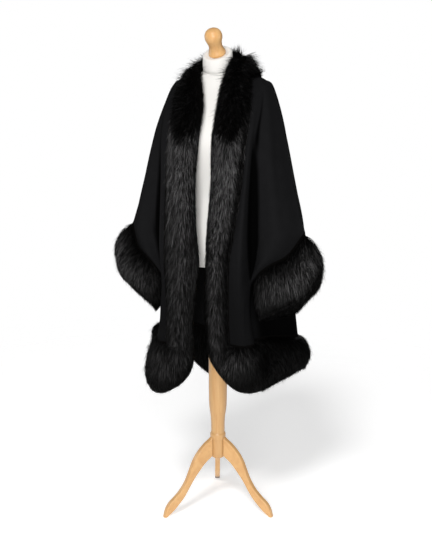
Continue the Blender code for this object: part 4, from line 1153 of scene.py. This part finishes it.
# centre y and z, half width and half depth, tilt of the neck's ovals and of its turned-over band's
neckRings = ((0.012, 1.5580, 0.0650, 0.0526, 8.8), (0.0095, 1.5688, 0.0534, 0.0534, 19.0))
bandRings = ((0.0095, 1.5692, 0.0535, 0.0535, 19.0), (0.0055, 1.5770, 0.0540, 0.0540, 20.0),
             (-0.001, 1.5960, 0.0515, 0.0515, 25.0), (-0.005, 1.6150, 0.0500, 0.0500, 31.0))


def tiltedRings(rings, angle):
    # ovals whose front is lowered by the tilt: cosine across, sine front to back
    y, z, half, deep, tilt = [np.asarray(column, float)[:, None] for column in zip(*rings)]
    tilt = np.radians(tilt)
    fore = deep * np.sin(angle)
    return np.stack([half * np.cos(angle), y + fore * np.cos(tilt), z + fore * np.sin(tilt)], axis=2)


def finerRings(rings, steps):
    # smooth curves through the same point of every ring
    flat = rings.reshape(len(rings), -1)
    gap = np.linalg.norm(np.diff(rings, axis=0), axis=2).mean(axis=1)
    knots = np.concatenate([[0], np.cumsum(np.sqrt(gap))])
    fine = smoothThrough(flat, knots, stepped(knots, [steps] * (len(rings) - 1)))
    return fine.reshape(-1, *rings.shape[1:])


angle = np.arange(form["sides"]) * 2 * math.pi / form["sides"]
z, half, fore, back = [np.asarray(column)[:, None] for column in zip(*torsoRings)]
power = 2 / form["squareness"]
c, s = np.cos(angle)[None, :], np.sin(angle)[None, :]
x = half * np.sign(c) * abs(c) ** power
y = (fore + back) / 2 + (back - fore) / 2 * np.sign(s) * abs(s) ** power
rings = np.stack([x, y, np.broadcast_to(z, x.shape)], axis=2)
rings = np.concatenate([rings, tiltedRings(neckRings, angle)])
tubePiece("form_torso", finerRings(rings, form["ringSteps"]), jersey.material, sharpAngle=60)

neckBand = {
    "steps": 5, "lean": 32.0, "top": (0.0, -0.0058, 1.6175),  # the knob's axis and where it starts
    # the rounded turned-over rim: radius and height on that axis
    "rim": ((0.0490, 0.0010), (0.0468, 0.0030), (0.0430, 0.0038),
            (0.0385, 0.0028), (0.0350, 0.0006), (0.0330, -0.0004)),
    # gathers round the band: how many, where they start and their share of the depth
    "gathers": ((17, 0.6, 0.5), (29, 1.9, 0.3), (43, 0.0, 0.2)), "gatherDepth": 0.0007,
    "gatherLeast": 0.35, "gatherRows": (0.3, 0.8),
}
rings = finerRings(tiltedRings(bandRings, angle), neckBand["steps"])
lean = math.radians(neckBand["lean"])
axis = np.array([0.0, -math.sin(lean), math.cos(lean)])
top = []
for radius, height in neckBand["rim"]:
    circle = np.stack([radius * np.cos(angle), radius * np.sin(angle) * math.cos(lean),
                       radius * np.sin(angle) * math.sin(lean)], axis=1)
    top.append(circle + np.array(neckBand["top"]) + axis * height)
rings = np.concatenate([rings, np.stack(top)])
waves = [share * np.sin(number * angle + start) for number, start, share in neckBand["gathers"]]
gathers = sum(waves) * neckBand["gatherDepth"]
centre = rings.mean(axis=1, keepdims=True)
growth = ease(np.linspace(0, 1, len(rings)), *neckBand["gatherRows"])
least = neckBand["gatherLeast"]
swell = gathers[None, :] * (least + (1 - least) * growth)[:, None]
rings = rings + unit(rings - centre) * swell[..., None]
tubePiece("form_neck_band", rings, jersey.material, sharpAngle=60)

# the stand: turned profiles as radius and height
turned = {"sides": 64, "steps": 4}
knobProfile = (
    (0.0278, 0.0004), (0.0291, 0.0030), (0.0287, 0.0085), (0.0262, 0.0150), (0.0237, 0.0230),
    (0.0227, 0.0320), (0.0234, 0.0400), (0.0262, 0.0485), (0.0288, 0.0575), (0.0296, 0.0650),
    (0.0284, 0.0740), (0.0242, 0.0825), (0.0170, 0.0887), (0.0075, 0.0920),
)
postProfile = (
    (0.0272, 0.2550), (0.0277, 0.2600), (0.0277, 0.2760), (0.0252, 0.2800), (0.0247, 0.3000),
    (0.0252, 0.3250), (0.0272, 0.3480), (0.0302, 0.3680), (0.0321, 0.3950), (0.0329, 0.4400),
    (0.0329, 0.5200), (0.0320, 0.7000), (0.0300, 0.9077),
)
bossProfile = (
    (0.0150, 0.1838), (0.0212, 0.1850), (0.0236, 0.1890), (0.0252, 0.2000), (0.0262, 0.2150),
    (0.0265, 0.2400), (0.0258, 0.2547),
)


def turnedPiece(name, profile, base, tilt, material):
    # a profile of radius and height carried round an axis that leans forward by the tilt
    points = np.column_stack([np.asarray(profile), np.zeros(len(profile))])
    fine = along(points, [turned["steps"]] * (len(profile) - 1))
    a = np.arange(turned["sides"]) * 2 * math.pi / turned["sides"]
    radius, height = fine[:, :1], fine[:, 1:2]
    x, y = radius * np.cos(a), radius * np.sin(a)
    height = np.broadcast_to(height, x.shape)
    rings = np.stack([x, base[1] + y * math.cos(tilt) - height * math.sin(tilt),
                      base[2] + y * math.sin(tilt) + height * math.cos(tilt)], axis=2)
    return tubePiece(name, rings, material, sharpAngle=50)


turnedPiece("stand_knob", knobProfile, neckBand["top"], lean, knobWood)
turnedPiece("stand_post", postProfile, (0, 0, 0), 0.0, turnedWood)
turnedPiece("stand_boss", bossProfile, (0, 0, 0), 0.0, turnedWood)

legs = {
    "thick": 0.0185, "bevel": 0.0045, "bevelSteps": 4, "steps": 4, "firstTurn": -7.5, "apart": 120.0,
    "grain": (28.0, 28.0, 22.0), "light": 0.86, "darkEnds": {"leg_back": 0.024},  # light: the legs' colours scaled down as painted shade; darkEnds: height of the painted shade at a foot's end
}
legProfile = (  # distance from the post's axis and height of the upper edge, then of the lower edge
    (0.0281, 0.264, 0.0281, 0.191), (0.0355, 0.257, 0.0547, 0.173), (0.0557, 0.244, 0.0717, 0.156),
    (0.0810, 0.220, 0.0907, 0.134), (0.1014, 0.192, 0.1083, 0.112), (0.1193, 0.151, 0.1262, 0.085),
    (0.1337, 0.120, 0.1442, 0.059), (0.1555, 0.089, 0.1650, 0.037), (0.1803, 0.066, 0.1871, 0.017),
    (0.2009, 0.050, 0.2019, 0.007), (0.2159, 0.029, 0.2097, 0.002), (0.2252, 0.000, 0.2114, 0.000),
)


def legRings(heading):
    # a board's section with rounded long edges, carried along the leg's two edge curves
    table = np.asarray(legProfile)
    rows = np.arange(float(len(table)))
    fine = smoothThrough(table, rows, stepped(rows, [legs["steps"]] * (len(table) - 1)))
    fine[:, [1, 3]] = np.maximum(fine[:, [1, 3]], 0.0)
    upper, lower = fine[:, :2], fine[:, 2:]
    rise = unit(upper - lower)
    half, bevel = legs["thick"] / 2, legs["bevel"]
    turns = np.radians(np.linspace(0, 90, legs["bevelSteps"] + 1))
    section = []
    for way, first, then in ((1, "upper", "lower"), (-1, "lower", "upper")):
        for edge, out, up in ((first, np.sin, np.cos), (then, np.cos, np.sin)):
            section += [(edge, way * (half - bevel + bevel * out(a)), bevel * (1 - up(a))) for a in turns]
    cosine, sine = math.cos(heading), math.sin(heading)
    rings = []
    for edge, sideways, sunk in section:
        flat = upper - rise * sunk if edge == "upper" else lower + rise * sunk
        x, y = flat[:, 0] * cosine - sideways * sine, flat[:, 0] * sine + sideways * cosine
        rings.append(np.column_stack([x, y, flat[:, 1]]))
    return np.stack(rings, axis=1)


legNames = ("leg_left", "leg_back", "leg_right")
for k, name in enumerate(legNames):
    heading = math.radians(legs["firstTurn"] + legs["apart"] * k)
    grain = woodFinish("sawn_beech_" + name, legs["grain"], legs["light"], legs["darkEnds"].get(name))
    tubePiece("stand_" + name, legRings(heading), grain, sharpAngle=45)
print("form and stand made")

# the node that each piece takes the place of, and its slot
stands = {"cape_front_left": ("front_left", "cape_cloth"), "cape_front_right": ("front_right", "cape_cloth"),
          "cape_back": ("back", "cape_cloth"), "form_torso": ("torso", "form_jersey"),
          "form_neck_band": ("neck_band", "form_jersey"), "stand_knob": ("knob", "light_wood"),
          "stand_post": ("post", "light_wood"), "stand_boss": ("boss", "light_wood")}
stands.update({"stand_" + name: (name, "light_wood") for name in legNames})
stands.update({name + "_ground": (name, "fur_trim") for name in bandPieces})
stands.update({name + "_hair": (name, "fur_trim") for name in bandPieces})
for name, (node, slot) in stands.items():
    piece = bpy.data.objects[name]
    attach(piece, "root")
    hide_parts(node)


studio = {
    "floorRadius": 3.2, "floorRings": 24, "floorSides": 96, "floorStart": 0.02, "floorLevel": -0.0005,
    "fadeFrom": 1.3, "fadeTo": 2.8, "ambient": 0.15,
    # the sun's light goes this far to the right and away, as the camera sees it, for each metre down
    "sunTravel": (0.27, 0.80), "sunStrength": 0.95, "sunWidth": 12.0,
    "cameraPlace": (1.1793, -2.9438, 1.554), "cameraTurn": (77.93, 0.0, 22.125), "lens": 61.27,
}
softboxes = (  # name, place, the point it faces, side and watts
    ("key_softbox", (0.48, -2.25, 3.03), (0.0, 0.0, 1.1), 0.8, 16),
    ("front_softbox", (1.25, -3.9, 1.5), (0.0, 0.0, 1.1), 1.5, 108),
    ("left_softbox", (4.0, 0.6, 1.2), (0.0, 0.0, 1.0), 1.6, 20),
    ("right_softbox", (-4.0, 0.3, 1.2), (0.0, 0.0, 1.0), 1.6, 20),
    ("back_softbox", (-0.9, 4.4, 1.5), (0.0, 0.0, 1.0), 1.6, 30),
)
floorLook = Finish("studio_floor", (0.93, 0.93, 0.93), Roughness=0.9, Specular_IOR_Level=0.1,
                   Emission_Color=(1.0, 1.0, 1.0, 1.0), Emission_Strength=0.40)
rows, sides = studio["floorRings"], studio["floorSides"]
radius = np.linspace(studio["floorStart"], studio["floorRadius"], rows)[:, None]
turn = np.arange(sides) * 2 * math.pi / sides
level = np.full((rows, sides), studio["floorLevel"])
disc = np.stack([radius * np.cos(turn), radius * np.sin(turn), level], axis=2)
faces = [quadGrid(rows, sides, ringColumns=True), np.arange(sides)[None, :]]
floor = buildPiece("studio_floor", disc.reshape(-1, 3), faces, floorLook.material, turnOut=False)
if floor.data.polygons[0].normal[2] < 0:
    floor.data.flip_normals()
# the floor fades out to the white around it
spot = floorLook.node("ShaderNodeSeparateXYZ", {}, {"Vector": floorLook.place()})
distance = (spot["X"] * spot["X"] + spot["Y"] * spot["Y"]) ** 0.5
away = floorLook.ranged(distance, studio["fadeFrom"], studio["fadeTo"], interpolation_type="SMOOTHSTEP")
clear = floorLook.node("ShaderNodeBsdfTransparent", {}, {})["BSDF"]
matt = Wire(floorLook, floorLook.surface.outputs[0])
mixed = floorLook.node("ShaderNodeMixShader", {}, {0: away, 1: matt, 2: clear})["Shader"]
outlet = [n for n in floorLook.tree.nodes if n.type == "OUTPUT_MATERIAL"][0]
floorLook.tree.links.new(mixed.socket, outlet.inputs["Surface"])

# soft light all round, and plain white where the camera sees past the floor
world = bpy.data.worlds.new("studio_white")
bpy.context.scene.world = world
world.use_nodes = True
sky = world.node_tree
sky.nodes["Background"].inputs["Color"].default_value = (1, 1, 1, 1)
sky.nodes["Background"].inputs["Strength"].default_value = studio["ambient"]
plain = sky.nodes.new("ShaderNodeBackground")
plain.inputs["Color"].default_value = (1, 1, 1, 1)
plain.inputs["Strength"].default_value = 1.0
seen, path = sky.nodes.new("ShaderNodeMixShader"), sky.nodes.new("ShaderNodeLightPath")
sky.links.new(path.outputs["Is Camera Ray"], seen.inputs[0])
sky.links.new(sky.nodes["Background"].outputs[0], seen.inputs[1])
sky.links.new(plain.outputs[0], seen.inputs[2])
sky.links.new(seen.outputs[0], sky.nodes["World Output"].inputs["Surface"])


def addLight(light, place, target):
    # the light as an object at its place, turned to face the target
    item = bpy.data.objects.new(light.name, light)
    item.location = place
    item.rotation_euler = (Vector(target) - Vector(place)).to_track_quat("-Z", "Y").to_euler()
    bpy.context.scene.collection.objects.link(item)


sun = bpy.data.lights.new("key_sun_0", "SUN")
sun.energy, sun.angle = studio["sunStrength"], math.radians(studio["sunWidth"])
swing = math.radians(studio["cameraTurn"][2])
right, away = studio["sunTravel"]
x, y = right * math.cos(swing) - away * math.sin(swing), right * math.sin(swing) + away * math.cos(swing)
addLight(sun, (-x, -y, 1.0), (0.0, 0.0, 0.0))
for name, place, target, size, watts in softboxes:
    lamp = bpy.data.lights.new(name, "AREA")
    lamp.shape, lamp.size, lamp.size_y, lamp.energy = "RECTANGLE", size, size, watts
    addLight(lamp, place, target)

eye = bpy.data.cameras.new("photo_view")
eye.sensor_width, eye.lens, eye.clip_end = 36.0, studio["lens"], 60.0
camera = bpy.data.objects.new("photo_view", eye)
camera.location = studio["cameraPlace"]
camera.rotation_euler = [math.radians(v) for v in studio["cameraTurn"]]
bpy.context.scene.collection.objects.link(camera)
bpy.context.scene.camera = camera
bpy.context.scene.view_settings.view_transform = "Standard"
print("studio set")

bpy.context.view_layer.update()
